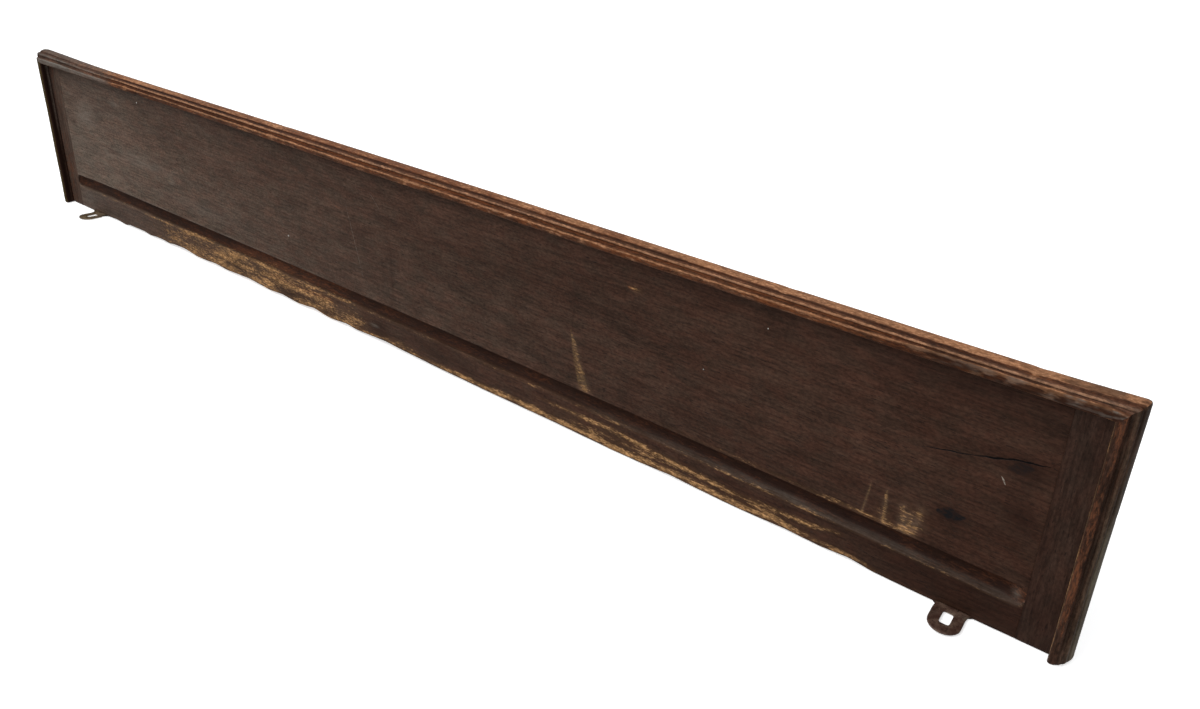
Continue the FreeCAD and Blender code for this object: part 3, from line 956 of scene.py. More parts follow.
PANEL_TRAILS = (
    ("ruddy", Trail(((80, -20, 2, 0), (97, -21.5, 3.5, 0.75), (140, -19.5, 3, 0.6),
                     (183, -21, 3.5, 0.75), (205, -20, 2, 0)))),
    ("wear", Trail(((-405, -7, 1.4, 0), (-398, -7.5, 2, 0.52), (-350, -12, 2.6, 0.6),
                    (-300, -14, 2.8, 0.68), (-245, -18, 2.6, 0.7), (-200, -17.5, 2.3, 0.6),
                    (-150, -18, 1.2, 0)))),
    ("wear", Trail(((-450, -17.5, 1.2, 0), (-438, -17, 1.8, 0.5), (-420, -13.5, 2.2, 0.58),
                    (-360, -12, 1.9, 0.5), (-330, -11, 1.2, 0)))),
)

PANEL_STROKES = tuple(Stroke(*row) for row in (
    (-458.8, -64, -455.4, 1, 1, 0.3, 0.3), (-470.3, -63, -470.8, 1.6, 3, 0.36, 0.6),
    (-482.5, -59, -484.5, 3.4, 3.6, 0.44, 0.5), (-489, -56, -487, 4.4, 4.6, 0.44, 0.62),
    (-495, -62, -490.5, 3.6, 3.4, 0.44, 0.38), (-204, -86, -218.5, 2.6, 6.2, 0.4, 0.58)))

PANEL_LINES = tuple(Hairline(*row) for row in (
    ((-562, -121.5), (-538, -117.5), 0.95, Mark.CRACK, 2.4),
    ((-545, -118.5), (-519, -111.5), 1.15, Mark.CRACK, 2.4),
    ((-524, -112.5), (-486, -104.5), 0.65, Mark.CRACK, 2.6),
    ((-520.5, -66.8), (-504, -65.2), 6.8, Mark.INK, 2.6, 1.25),
    ((-553, -116), (-540, -112), 6, Mark.INK, 4, 0.6),
    ((-539.7, -100), (-536.7, -104.5), 0.8, Mark.PALE, 1.2),
    ((64, -130), (45, -60), 0.6, Mark.RUBBED, 1.6),
    ((29, -144), (17, -132), 0.6, Mark.RUBBED, 0.8),
    ((-459, -65), (-455.6, -40), 1.2, Mark.BARE, 2.2, 0.24),
    ((-470.2, -65), (-471.2, -38), 1.9, Mark.BARE, 2.2, 0.34),
    ((-203, -89), (-214, -38), 3.2, Mark.BARE, 2.4, 0.42),
    ((-212, -64), (-220, -38), 4.2, Mark.BARE, 3, 0.4),
    ((-372, -146), (-371.4, -146.3), 0.9, Mark.DUST, 0.3),
    ((-325, -99), (-324.3, -99.2), 0.8, Mark.DUST, 0.3),
    ((401, -153.5), (402.5, -153.2), 1.5, Mark.DUST, 0.4),
    ((153, -71), (154.6, -71.4), 1.5, Mark.DUST, 0.4),
))

# depth of the worn top edge along the wall, from pairs of place and depth: teeth far, long waves near
BACK_EDGE = Course(*zip(
    (-588.5, -0.05), (-470, -0.1), (-452, -1.9), (-430, -0.2), (-402, -1.2), (-380, -0.3),
    (-350, -0.05), (-322, -0.9), (-302, -1.6), (-275, -0.3), (-250, -0.1), (-222, -0.6),
    (-190, -0.9), (-150, -1.1), (-120, -0.9), (-70, -1.4), (-45, -1.7), (-25, -2.4),
    (0, -2.9), (20, -3.9), (45, -2.8), (60, -2), (75, -3.7), (85, -2.6), (100, -1.5),
    (112, -2.5), (125, -4.3), (138, -2.6), (150, -1.4), (163, -2.4), (176, -3.4),
    (195, -1.8), (212, -2.9), (230, -3.8), (250, -3.1), (270, -2), (290, -3.5),
    (305, -2.2), (325, -1.7), (340, -3.6), (352, -4.4), (370, -3.7), (380, -2),
    (391, -3), (405, -2.8), (418, -1.5), (430, -2.8), (450, -2.4), (462, -2.2),
    (470, -0.2), (480, -1.2), (490, -1.8), (512, -0.6), (545, -0.2), (588.5, -0.1)))

# strength and reach of the bare line at that edge, of the bare field on the strip, and of the wear on
# the groove's back lip, the pale line on it, a painted highlight where the lip faces the light, and
# the wear on its front lip
EDGE_WEAR = Course((-545, -500, -440, -390, -100, 0, 60, 330, 470),
                   (0, 0.4, 0.66, 0.82, 0.8, 0.66, 0.74, 0.58, 0.2))
EDGE_REACH = Course((-490, -400, -150, 0, 60), (1.2, 3.2, 3.4, 1.9, 1.6))
STRIP_FIELD = Course((30, 85, 100, 200, 325, 350, 380, 470),
                     (0, 0.36, 0.47, 0.46, 0.5, 0.44, 0.22, 0))
BACK_LIP_WEAR = Course((-560, -360, -240, -150, -110, -70, 0, 40, 100, 350, 430),
                       (0.3, 0.42, 0.42, 0.32, 0.46, 0.28, 0.34, 0.62, 0.95, 0.98, 0.45))
BACK_LIP_PAINTED_HIGHLIGHT = Course((-566, -420, -300, -200), (0.34, 0.42, 0.34, 0))
FRONT_LIP_WEAR = Course((-500, -488, -435, -415, -330, -260), (0, 0.8, 0.8, 0.55, 0.4, 0))


# Shelf

def shares(count: int) -> Array:
    """Even shares from 0 to 1, as one row."""
    return np.linspace(0, 1, count)[None]


@dataclass
class ShelfPanel:
    """The long board with its plate groove and worn back edge, and the cleat across each end."""

    oak: Material
    cleat_oak: Material
    board_half: float = 566.5
    cleat_outer: float = 588.5
    depth: float = 165.0
    top: float = SHELF_TOP
    bottom: float = -33.0
    groove_depth: float = 6.0
    groove_end: float = 6.0
    plate_half: float = 10.6
    plate_middle: float = 526.5
    plate_front: float = -1.45
    cleat_eased: float = 0.28
    spacing: float = 2.0
    stroke_spacing: float = 0.9
    fade: float = 0.62

    def groove_middle(self, x: Array) -> Array:
        """The groove's middle: a slanted line less a parabola, as the board has bowed."""
        share = x / self.board_half
        return -31.85 - 1.35 * share - 3.1 * (1 - share ** 2) + 1 * smooth(x, 500, 560)

    def groove_half(self, x: Array) -> Array:
        """Half of the groove's width: less a parabola in the middle, and a quarter circle at each end.

        Args:
            x: places along the board.
        Returns:
            Half widths.
        """
        end = np.clip((self.board_half - np.abs(x)) / self.groove_end, 0, 1)
        width = 7.1 - 0.6 * (1 - (x / self.board_half) ** 2) + 0.2 * ripple(x, 21, 70)
        return width * (0.45 + 0.55 * np.sqrt(1 - (1 - end) ** 2))

    def back_edge(self, x: Array) -> Array:
        """The top back edge: a broken line averaged over a few millimetres, notched for the hangers.

        Args:
            x: places along the board.
        Returns:
            Depths of the edge.
        """
        fine = np.arange(-600, 601)
        window = np.hanning(11)
        worn = np.convolve(np.pad(BACK_EDGE.at(fine), 5, "edge"), window / window.sum(), "valid")
        edge = np.interp(x, fine, worn) + 0.14 * ripple(x, 12, 9) * smooth(480 - np.abs(x), 0, 20)
        notch = smooth(np.abs(np.abs(x) - self.plate_middle), self.plate_half + 1, self.plate_half - 1)
        return edge * (1 - notch) + np.minimum(edge, self.plate_front) * notch

    def cupped(self, x: Array, y: Array) -> Array:
        """How far the near back corner has risen: an easing along the board times one across it."""
        return 1.5 * smooth(-x, 425, 505) * smooth(y, -24, -3)

    def board(self) -> None:
        """Builds the board as rings in Y and Z carried along X, closer together at the bare strokes.

        Each ring runs over the top, along a filled-out half ellipse through the groove, over the strip
        behind, round the worn back edge, down the back, along the bottom and up the front.
        """
        x = stations(-self.board_half, self.board_half, self.spacing)
        x = np.union1d(x, np.arange(-506, -436, self.stroke_spacing))[:, None]
        middle, half, edge = self.groove_middle(x), self.groove_half(x), self.back_edge(x)
        near_end = self.board_half - np.abs(x)
        deep = self.groove_depth * (0.2 + 0.8 * smooth(near_end, -2, 8 + 7 * (x < 0)))
        across = 2 * shares(17)[:, 1:-1] - 1
        eased = 0.8 + 0.3 * ripple(x, 22, 30) + 0.4 * smooth(np.abs(x), 500, 100)
        turn = math.pi / 2 * shares(7)[:, 1:]
        down = shares(7)[:, 1:]
        corner = self.top - eased * (1 - np.cos(turn))
        back = edge * (1 - 0.35 * down)
        dip = 0.25 * (1 - smooth(near_end, 0, 0.4))
        y_front = -self.depth + shares(58) * (middle - half + self.depth)
        wavy = 0.1 * (patches(x, y_front, 23, 120, 30) - 0.5)
        legs = (
            (y_front, self.top - dip + wavy),
            (middle + half * across, self.top - deep * np.sqrt(1 - across ** 2) ** 0.8 - dip),
            (middle + half + shares(17) * (edge - eased - middle - half), self.top - dip),
            (edge - eased * (1 - np.sin(turn)), corner - dip),
            (back, corner[:, -1:] + down * (self.bottom - corner[:, -1:])),
            (back[:, -1:] + shares(24)[:, 1:] * (-self.depth - back[:, -1:]), self.bottom),
            (-self.depth, self.bottom + shares(4)[:, 1:-1] * (self.top - self.bottom)),
        )
        rings = [np.broadcast_arrays(x, *leg)[1:] for leg in legs]
        y, z = (np.concatenate([ring[axis] for ring in rings], axis=1) for axis in range(2))
        z = z + self.cupped(x, y) * smooth(z, self.bottom, self.top)
        Surface().tube(x, y, z, PanelMasks(self, x, y, z).build()).piece("shelf_board", "dark_oak", self.oak)

    def cleat(self, side: Side) -> None:
        """Builds the cleat of one end as rings in X and Z carried along Y.

        Args:
            side: the end.
        """
        y = stations(-self.depth, 0, self.spacing)[:, None]
        low, high = self.board_half, self.cleat_outer
        x_top = low + self.cleat_eased + shares(16) * (high - low - 2 * self.cleat_eased)
        x = np.concatenate([[[low]], x_top, [[high]], [[high]], x_top[:, ::-1], [[low]]], axis=1)
        corner = np.array([[self.top - self.cleat_eased]])
        flat = np.full(x_top.shape, self.top)
        z = np.concatenate([corner, flat, corner, np.full((1, x_top.size + 2), self.bottom)], axis=1)
        upper = z > (self.top + self.bottom) / 2
        z = z - 0.5 * (1 - smooth(-y, 0, 1)) * upper
        x = side.value * x
        z = z + self.cupped(x, y) * upper
        away = self.cleat_outer - np.abs(x)
        joint = bump(np.abs(x), self.board_half, 0.7) * (0.25 + 0.5 * patches(y, x, 42, 30, 9))
        vary = patches(x, y, 43, 12, 40)
        if side is Side.RIGHT:
            # paler towards the front: part of the painted reflection at the foot of the far end bar
            haze = 0.03 + 0.1 * smooth(y, -40, -90) * vary
            soil = np.maximum(joint, 0.44 + 0.36 * smooth(away, 15, 2) * smooth(y, -40, -130))
            fade = 0.3 + 0.2 * vary
            ruddy = 0.3 + 0.14 * smooth(away, 22, 4)
        else:
            haze, fade = 0.05 * vary, 0.04 * vary
            soil = np.maximum(joint, 0.34 + 0.34 * smooth(y, -70, -10) * vary)
            ruddy = 0.18 * patches(x, y, 41, 20, 90)
        masks = {"haze": haze * upper, "fade": fade * upper, "soil": soil * upper + 0.3 * (1 - upper),
                 "ruddy": ruddy * upper}
        Surface().tube(x, y, z, masks).piece(side.named("end_cleat"), "dark_oak", self.cleat_oak)

    def build(self) -> None:
        """Builds the board and both cleats."""
        self.board()
        for side in Side:
            self.cleat(side)


class PanelMasks:
    """Where the board is paler, worn, soiled and hazed, and where shade and highlights are painted on it, as
    bells and patches of its places.
    """

    def __init__(self, panel: ShelfPanel, x: Array, y: Array, z: Array) -> None:
        """Takes the places and starts with clean wood.

        Args:
            panel: the board's sizes.
            x: places along the board, one per ring.
            y: depth of every point.
            z: height of every point.
        """
        self.panel, self.x, self.y, self.z = panel, x, y, z
        self.middle, self.half, self.edge = panel.groove_middle(x), panel.groove_half(x), panel.back_edge(x)
        self.masks = {name: np.zeros(y.shape) for name in ("wear", "soil", "haze", "ruddy", "fade")}

    def add(self, name: str, amount: Array) -> None:
        """Puts a mark on top of what the mask has already."""
        self.masks[name] = np.maximum(self.masks[name], amount)

    def clear(self, amount: Array, *names: str) -> None:
        """Takes a share of the masks away."""
        self.masks.update({name: self.masks[name] * (1 - amount) for name in names})

    def patchy(self, seed: int, period_x: float, period_y: float) -> Array:
        """Soft random patches over the board."""
        return patches(self.x, self.y, seed, period_x, period_y)

    def top(self) -> None:
        """The single marks, the wood that pales towards the far end, and the haze there, partly a painted
        sheen of a grazing reflection; fade and haze are weaker along the front lip, a painted shade of the
        moulding.
        """
        x, y, half_length = self.x, self.y, self.panel.board_half
        speckle = 0.7 + 0.6 * self.patchy(31, 14, 7)
        spots = tuple((name, Spot(*row)) for name, rows in PANEL_SPOTS.items() for row in rows)
        for name, mark in spots + PANEL_TRAILS:
            self.add(name, mark.over(x, y) * speckle)
        away = np.clip((x + half_length) / (2 * half_length), 0, 1)
        # fade and haze are weaker near the front lip: a painted shade of the moulding, along with soil there
        lighter_clear_of_lip_shade = 0.6 + 0.4 * smooth(y, -152, -62)
        self.add("fade", self.panel.fade * away ** 1.6 * lighter_clear_of_lip_shade * (0.85 + 0.3 * self.patchy(36, 90, 30)))
        # grey haze over the far part: dust along with a painted sheen of a grazing reflection
        self.masks["haze"] += 0.2 * smooth(x, 330, 540) * (0.5 + self.patchy(38, 60, 25)) * lighter_clear_of_lip_shade

    def strip(self) -> None:
        """The strip behind the groove: darker wood, with bare fields and a bare line along its worn edge."""
        x = self.x
        strip = smooth(self.y - (self.middle + self.half), -0.4, 0.6)
        self.clear(0.62 * strip, "fade")
        reach = EDGE_REACH.at(x)
        line = bump(self.y, self.edge - 0.4 - reach, reach)
        self.add("wear", EDGE_WEAR.at(x) * line * (0.55 + 0.7 * self.patchy(32, 16, 12)))
        self.add("wear", strip * STRIP_FIELD.at(x) * (0.4 + 1.1 * self.patchy(37, 44, 6)))
        self.add("soil", 0.42 * strip * smooth(x, -430, -500))

    def groove(self) -> None:
        """The groove: dark inside with painted shade, bare or pale along its lips, with painted highlights on
        its back lip and at its near end.
        """
        x, y, middle, half = self.x, self.y, self.middle, self.half
        inside = smooth(half - np.abs(y - middle), 0, 0.7)
        bare = bump(x, 170, 100)
        self.clear(inside, "wear", "soil")
        self.clear(0.8 * inside, "fade")
        self.clear(0.95 * inside, "haze")
        self.add("ruddy", inside * (0.42 + 0.24 * bare))
        self.add("wear", inside * 0.3 * bump(x, 195, 60) * smooth(y, middle, middle + half))
        # darker inside the groove: painted shade of the recess, along with dirt
        soil = 0.8 - 0.34 * bare - 0.1 * smooth(x, 380, 560)
        self.masks["soil"] += inside * soil * smooth(x, -566, -548)
        vary = 0.55 + 0.7 * self.patchy(33, 40, 30)
        self.add("wear", bump(y, middle + half + 0.9, 1.3) * vary * BACK_LIP_WEAR.at(x))
        # the pale line on the back lip is a painted highlight where the lip faces the light
        self.add("haze", bump(y, middle + half - 0.3, 1.4) * (vary - 0.2) * BACK_LIP_PAINTED_HIGHLIGHT.at(x))
        self.add("haze", bump(y, middle - half, 0.8) * 0.42 * smooth(x, 60, 200) * vary)
        # a painted highlight on the worn near end of the groove
        self.add("haze", 0.5 * bump(x, -560, 3) * bump(y, middle + 1.5, 4))

    def strokes(self) -> None:
        """The bare strokes in front of the groove, a pale veil round them, and the line along their feet."""
        x, y, lip = self.x, self.y, self.middle - self.half
        before = smooth(y, lip + 0.4, lip - 0.4)
        hatch = 0.85 + 0.3 * self.patchy(34, 30, 2.6)
        veil = 0.5 * (0.5 + 0.9 * self.patchy(35, 2.6, 3.4))
        for stroke in PANEL_STROKES:
            amount = stroke.over(x, y, lip) * hatch * before
            self.add("wear", amount)
            self.masks["fade"] += veil * amount
        feet = bump(y, lip - 0.9, 1.9) * before * (0.45 + 0.9 * self.patchy(39, 12, 9))
        self.add("wear", FRONT_LIP_WEAR.at(x) * feet)

    def build(self) -> Masks:
        """Marks the upper side, and soils the rest evenly.

        Returns:
            The masks by name.
        """
        for marks in (self.top, self.strip, self.groove, self.strokes):
            marks()
        upper = smooth(self.z, self.panel.bottom + 6, self.panel.top - 4)
        self.clear(1 - upper, *self.masks)
        self.add("soil", 0.3 * (1 - upper))
        return self.masks


# Moulding

# how far the section has filled at the near end by the wall; how thin the front bar has worn; how bare
# its nose, bead and ridge are
HOLLOW_FILL = Course((0, 0.8, 2.2, 3.6, 7.3, 9.3, 10.8), (4.5, 6.1, 7.9, 8.1, 6.9, 3.4, 0.1))
FRONT_THINNED = Course((-590, -560, -350, -120, 70, 300, 520, 585),
                       (0, 0.7, 0.8, 0.1, 0.1, 0.8, 0.9, 0.4))
FRONT_PLACES = (-588, -565, -377, -188, 0, 188, 377, 440, 565)
NOSE_WEAR = Course(FRONT_PLACES, (0.75, 0.78, 0.88, 0.66, 0.34, 0.6, 0.64, 0.58, 0.1))
BEAD_WEAR = Course(FRONT_PLACES, (0.45, 0.84, 1.1, 0.7, 0.62, 1.05, 1.1, 0.4, 0.05))
RIDGE_WEAR = Course(FRONT_PLACES, (0.6, 0.9, 0.94, 0.66, 0.8, 1.1, 0.8, 0.3, 0.15))


@dataclass
class EdgeMoulding:
    """The stepped moulding round the front and both ends, worn bare on its ridges."""

    front_oak: Material
    left_oak: Material
    right_oak: Material
    inner_half: float = 588.5
    depth: float = 165.0
    width: float = 11.5
    lip: float = 8.0
    thickness: float = 20.0
    top: float = SHELF_TOP
    spacing: float = 2.3
    end_spacing: float = 1.6
    sharp: float = 50.0
    near_corner: float = 2.1
    far_corner: float = 3.6
    near_flare: float = 1.8
    near_reach: float = 1.1
    far_spread: float = 0.7
    far_reach: float = 2.2
    far_rise: float = 1.0
    bite_at: float = 384.0
    bite_reach: float = 5.0

    def outline(self) -> Array:
        """The section as a ring of (outward, height above the panel) points.

        Arcs through three points and straight runs follow each other: inner arris, crest, hollow,
        bead, step, nose, under hollow and the flat sides; a mean of neighbours then softens it.

        Returns:
            The points, one per row.
        """
        def above(out: float, up: float) -> Point:
            """A point above the panel, as shares of the width and the lip."""
            return (out * self.width, up * self.lip)

        def below(out: float, down: float) -> Point:
            """A point below the panel's top, as shares of the width and the thickness."""
            return (out * self.width, -down * self.thickness)

        ring = path(
            below(0, 1), (5, (0, 0)), (8, above(0, 0.7)),
            (8, above(0.05, 0.91), above(0.17, 1)), (9, above(0.29, 1.015), above(0.42, 0.99)),
            (7, above(0.47, 0.86), above(0.5, 0.66)), (8, above(0.57, 0.53), above(0.67, 0.6)),
            (10, above(0.78, 0.57), above(0.84, 0.27)), (5, above(0.86, 0.17), above(0.91, 0.14)),
            (24, below(1, 0.2), below(0.8, 0.575)), (12, below(0.5, 0.68), below(0.38, 0.94)),
            (3, below(0.38, 1)), (4, below(0, 1)))[:-1]
        soft = (np.roll(ring, 1, axis=0) + 4 * ring + np.roll(ring, -1, axis=0)) / 6
        sharp = (ring[:, 0] < 0.2) & (ring[:, 1] < self.lip * 0.5) | (ring[:, 1] < -self.thickness + 0.2)
        return np.where(sharp[:, None], ring, soft)

    def section(self) -> tuple[Array, Array]:
        """How far outward and upward the section's points are, as one row each."""
        u, z = self.outline().T[:, None]
        return u, z

    def worn_section(self) -> Array:
        """Heights of the section where its hollow has filled, as at the near end by the wall."""
        u, z = self.section()
        return np.where((z > 0) & (u > 0.2), np.maximum(z, HOLLOW_FILL.at(u)), z)

    def waves(self, along: Array, seed: int) -> tuple[Array, Array, Array]:
        """Waves and nicks of the section along a bar, as offsets outward and upward.

        Args:
            along: place along the bar, one per ring.
            seed: picks the pattern.
        Returns:
            Offsets outward and upward for the section's points, and the nicks' depth.
        """
        u, z = self.section()
        nose = smooth(u, 8, 11)
        crest = smooth(z, 3, 7)
        nick = smooth(ripple(along, seed + 1, 11), 0.3, 0.8)
        chip = smooth(ripple(along, seed + 2, 19), 0.35, 0.85)
        out = 0.16 * ripple(along, seed, 60) - 0.5 * chip * nose
        up = 0.16 * ripple(along, seed + 3, 33) - 0.5 * nick * crest * smooth(u, 5.8, 3)
        return out * (u > 0.01), up * smooth(z, 1, 4), np.maximum(nick * crest, chip * nose)

    def corner_shift(self, side: Side) -> tuple[Array, Array, Any]:
        """How far the section has moved at one corner.

        Args:
            side: the corner's end.
        Returns:
            Offsets outward past the end, forward, and up.
        """
        u, z = self.section()
        if side is Side.LEFT:
            return self.near_flare * u / self.width, self.near_reach * u / self.width, 0
        return (self.far_spread * smooth(u, 0.4, 5), self.far_reach * u / self.width,
                self.far_rise * smooth(z, 1, 6))

    def radius(self, corner: Any) -> Array:
        """The corner's radius for each point of the section: none inside, the full one at the nose."""
        return corner * smooth(self.section()[0], 3, self.width)

    def pull(self, tip: Array, corner: Any) -> Array:
        """What a round corner takes off: radius less the root of its square less the shortfall's square."""
        radius = self.radius(corner)
        return radius - np.sqrt(np.maximum(radius ** 2 - np.maximum(radius - tip, 0) ** 2, 0))

    def mitre_cut(self, corner: Any) -> Array:
        """How much of the corner's round lies beyond the mitre, for each point of the section."""
        return (1 - ROOT_HALF) * self.radius(corner)

    def bells(self) -> Masks:
        """Bells over the section's ridges and hollows.

        Returns:
            One value per point of the ring, under each part's name.
        """
        u, z = self.section()

        def near(at_u: float, at_z: float, reach: float) -> Array:
            """A bell round one point of the section."""
            return np.exp(-((u - at_u) ** 2 + (z - at_z) ** 2) / reach ** 2)

        return {
            "inner": near(0.3, 6.8, 0.7), "crest": smooth(z, 7, 7.7) * smooth(u, 0.4, 1.2),
            "ridge": near(4.9, 7.6, 0.7), "hollow": near(6.5, 4.5, 1.2), "bead": near(8.6, 4.4, 0.8),
            "step": near(10, 1.6, 0.9),
            "nose": smooth(u, 9.6, 10.6) * smooth(z, 1.3, 0.2) * smooth(z, -10.5, -8),
            "under": smooth(z, -9.5, -12.5) * smooth(u, -0.1, 0.3), "outside": smooth(u, 9, 10.6),
            "inside": (u < 0.25) * smooth(z, 6.8, 5.6), "foot": (u < 0.25) * bump(z, 1.9, 0.9),
        }

    def front(self) -> None:
        """Builds the front bar: the section carried along X and mitred, its corners rounded.

        The thumbed near corner, the rolled ridge beside it, a bite out of the crest, the worn nose
        and the bow of the bar are bells and easings that are added to the section.
        """
        u, z = self.section()
        share = stations(-1, 1, self.spacing / self.inner_half, 0.0004, 0.014)[:, None]
        along = share * self.inner_half
        to_end = 1 - np.abs(share)
        corner = np.where(share > 0, self.far_corner, self.near_corner)
        x = share * (self.inner_half + u - self.mitre_cut(corner))
        tip = self.inner_half + u - np.abs(x)
        forward = rise = 0
        for side, reach in ((Side.LEFT, 0.1), (Side.RIGHT, 0.22)):
            spread, ahead, lift = self.corner_shift(side)
            near = smooth(side.value * share, 1 - reach, 1)
            x = x + side.value * near ** 2 * spread
            forward = forward + near * ahead
            rise = rise + smooth(side.value * share, 0.93, 1) * lift
        out, up, nicks = self.waves(along, 51)
        held = smooth(to_end, 0, 0.01)
        thumb = 1.5 * bump(share, -1, 0.008) * smooth(z, 4, 7.5) * smooth(u, 6, 2) * held
        roll = 1.8 * smooth(along, -430, -485) * bump(u, 5.3, 1.4) * smooth(z, 2, 4)
        bite = 1.5 * bump(along, self.bite_at, self.bite_reach) * smooth(z, 3, 7) * smooth(u, 4.6, 1.5)
        bowed = 1.5 * bump(along, -20, 230) * smooth(z, 2, 7)
        y = -self.depth - u + self.pull(tip, corner) - out * held - forward
        y = y + FRONT_THINNED.at(along) * smooth(u, 2, 10) - roll * smooth(to_end, 0, 0.02)
        height = self.top + z + up * held + rise - thumb - bite + bowed
        surface = Surface().tube(x, y, height, self.front_masks(along, nicks))
        surface.piece("front_moulding", "dark_oak", self.front_oak, self.sharp)

    def front_masks(self, x: Array, nicks: Array) -> Masks:
        """Gold on the ridges, bare wood on the nose, red in the hollows, greyer at the far end.

        Args:
            x: place along the bar, one per ring.
            nicks: depth of the nicks.
        Returns:
            The masks by name.
        """
        bells = self.bells()
        ridge, crest, hollow, bead, step, nose = map(
            bells.get, ("ridge", "crest", "hollow", "bead", "step", "nose"))
        u = self.section()[0]
        far = 0.75 * smooth(x, 425, 458) + 0.25 * smooth(x, 458, 560)
        near_end = smooth(x, -470, -575)
        middling = smooth(x, 440, 400) * smooth(x, -540, -470)
        righter = smooth(x, 100, 280) * smooth(x, 470, 400)
        vary, spots, fine = (patches(x, u, *pattern) for pattern in (
            (61, 55, 5), (62, 15, 2), (63, 6, 1.2)))
        wear = (ridge * RIDGE_WEAR.at(x) * (0.5 + 0.5 * vary + 0.8 * fine)
                + bead * BEAD_WEAR.at(x) * (0.7 + 1 * spots)
                + nose * NOSE_WEAR.at(x) * (0.22 + 1 * spots + 0.5 * vary) + 0.6 * bells["inner"] * fine
                + 0.46 * crest * smooth(fine, 0.42, 0.8) * (0.3 + vary) * (1 - 0.5 * far)
                + 0.5 * nicks * (1 - 0.5 * far))
        ruddy = (nose * (0.65 + 0.4 * vary) + crest * (0.26 + 0.4 * vary) + 0.75 * hollow + 0.6 * step
                 + 0.5 * bells["inside"]) * (1 - 0.7 * far) * (1 - 0.3 * near_end)
        soil = (hollow * (0.3 + 0.25 * spots + 0.44 * righter) * (1 - 0.7 * near_end)
                + step * (0.12 + 0.52 * middling + 0.3 * righter + 0.25 * spots + 0.2 * far)
                + 0.35 * bells["under"] + 0.15 * bells["inside"]
                + crest * (0.12 + 0.3 * (1 - vary)) * (1 - 0.7 * far)
                + 0.5 * crest * smooth(x, -400, -500)
                + 0.62 * nose * smooth(x, -500, -550) * smooth(spots, 0.5, 0.62)
                + 0.6 * crest * bump(x, self.bite_at, self.bite_reach) * smooth(u, 4, 2))
        haze = (far * (0.08 + 0.56 * (ridge + bead + 0.9 * crest) * (0.5 + vary) + 0.22 * nose + 0.14 * crest)
                + (ridge + crest) * (0.1 + 0.3 * near_end) * smooth(fine, 0.45, 0.75)
                + bead * (0.3 + 0.25 * near_end) * (0.6 + 0.8 * vary) + 0.15 * nose * fine
                + 0.22 * near_end * hollow)
        return {"wear": wear, "ruddy": ruddy, "soil": soil, "haze": haze, "fade": 0.16 * far + 0.02}

    def end(self, side: Side) -> None:
        """Builds the bar of one end: the section carried along Y, mitred in front, square at the wall.

        Args:
            side: the end.
        """
        u, z = self.section()
        left = side is Side.LEFT
        share = stations(0, 1, self.end_spacing / self.depth, 0.003, 0.05)[:, None]
        spread, forward, rise = self.corner_shift(side)
        corner = self.near_corner if left else self.far_corner
        y = share * (-self.depth - u + self.mitre_cut(corner) - forward)
        tip = self.depth + u + forward + y
        out, up, nicks = self.waves(share * -self.depth, 71 if left else 81)
        held = smooth(1 - share, 0, 0.05)
        along = share ** 1.5 if left else 0.55 + 0.45 * smooth(share, 0.6, 1)
        rounded = 0.8 * (1 - smooth(-y, 0, 1.4)) * smooth(u, 1, 9)
        x = self.inner_half + u - self.pull(tip, corner) + along * spread + out * held - rounded
        if left:
            z = z + smooth(-y, 16, 3) * (self.worn_section() + 0.8 * smooth(z, 2, 6) - z)
        height = self.top + z + up * held + along * rise - rounded * smooth(z, 1, 4)
        place = share * -self.depth
        masks = self.left_masks(place, nicks) if left else self.right_masks(place)
        oak = self.left_oak if left else self.right_oak
        surface = Surface().tube(side.value * x, y, height, masks)
        surface.piece(side.named("end_moulding"), "dark_oak", oak, self.sharp)

    def left_masks(self, y: Array, nicks: Array) -> Masks:
        """Rubbed crest, dark hollow, and a greenish-grey bloom outside towards the wall.

        Args:
            y: place along the bar, one per ring.
            nicks: depth of the nicks.
        Returns:
            The masks by name.
        """
        bells = self.bells()
        ridge, crest, hollow, bead, inner = map(bells.get, ("ridge", "crest", "hollow", "bead", "inner"))
        u = self.section()[0]
        vary, fine = patches(y, u, 90, 34, 5), patches(y, u, 92, 7, 1.3)
        ruddy = crest * (0.36 + 0.42 * vary) * (0.6 + 0.8 * fine) * (0.75 + 0.25 * smooth(y, -150, -60))
        # the light line on the inner arris is worn wood along with a painted highlight of the lit arris
        wear = (inner * (0.25 + 0.7 * fine) + 0.3 * bead * fine + 0.35 * nicks + 0.16 * ridge * fine
                + 0.12 * crest * smooth(fine, 0.4, 0.8))
        soil = (0.4 * hollow + 0.26 * bells["step"] + 0.4 * bells["inside"] + 0.3 * bells["under"]
                + crest * (0.02 + 0.18 * (1 - vary)))
        # the inner arris term is part of the same painted highlight
        haze = (bells["outside"] * (0.15 + 0.7 * smooth(y, -140, -50) * (0.3 + vary)) + 0.45 * bead * vary
                + 0.35 * inner * fine + 0.1 * hollow * (0.4 + vary))
        return {"wear": wear, "ruddy": ruddy * (1 - 0.8 * smooth(y, -60, -10)), "soil": soil, "haze": haze}

    def right_masks(self, y: Array) -> Masks:
        """Dark wood, with dirt and painted shade on the inner face, which turns from the light, and a pale
        line low on that face, a painted reflection, which fades towards the wall.

        Args:
            y: place along the bar, one per ring.
        Returns:
            The masks by name.
        """
        bells = self.bells()
        u = self.section()[0]
        vary, fine = patches(y, u, 92, 34, 5), patches(y, u, 94, 7, 1.3)
        # the pale line at the foot of the inner face is a painted reflection
        haze = bells["foot"] * (0.03 + 0.5 * smooth(y, -60, -130)) * (0.55 + 0.6 * fine)
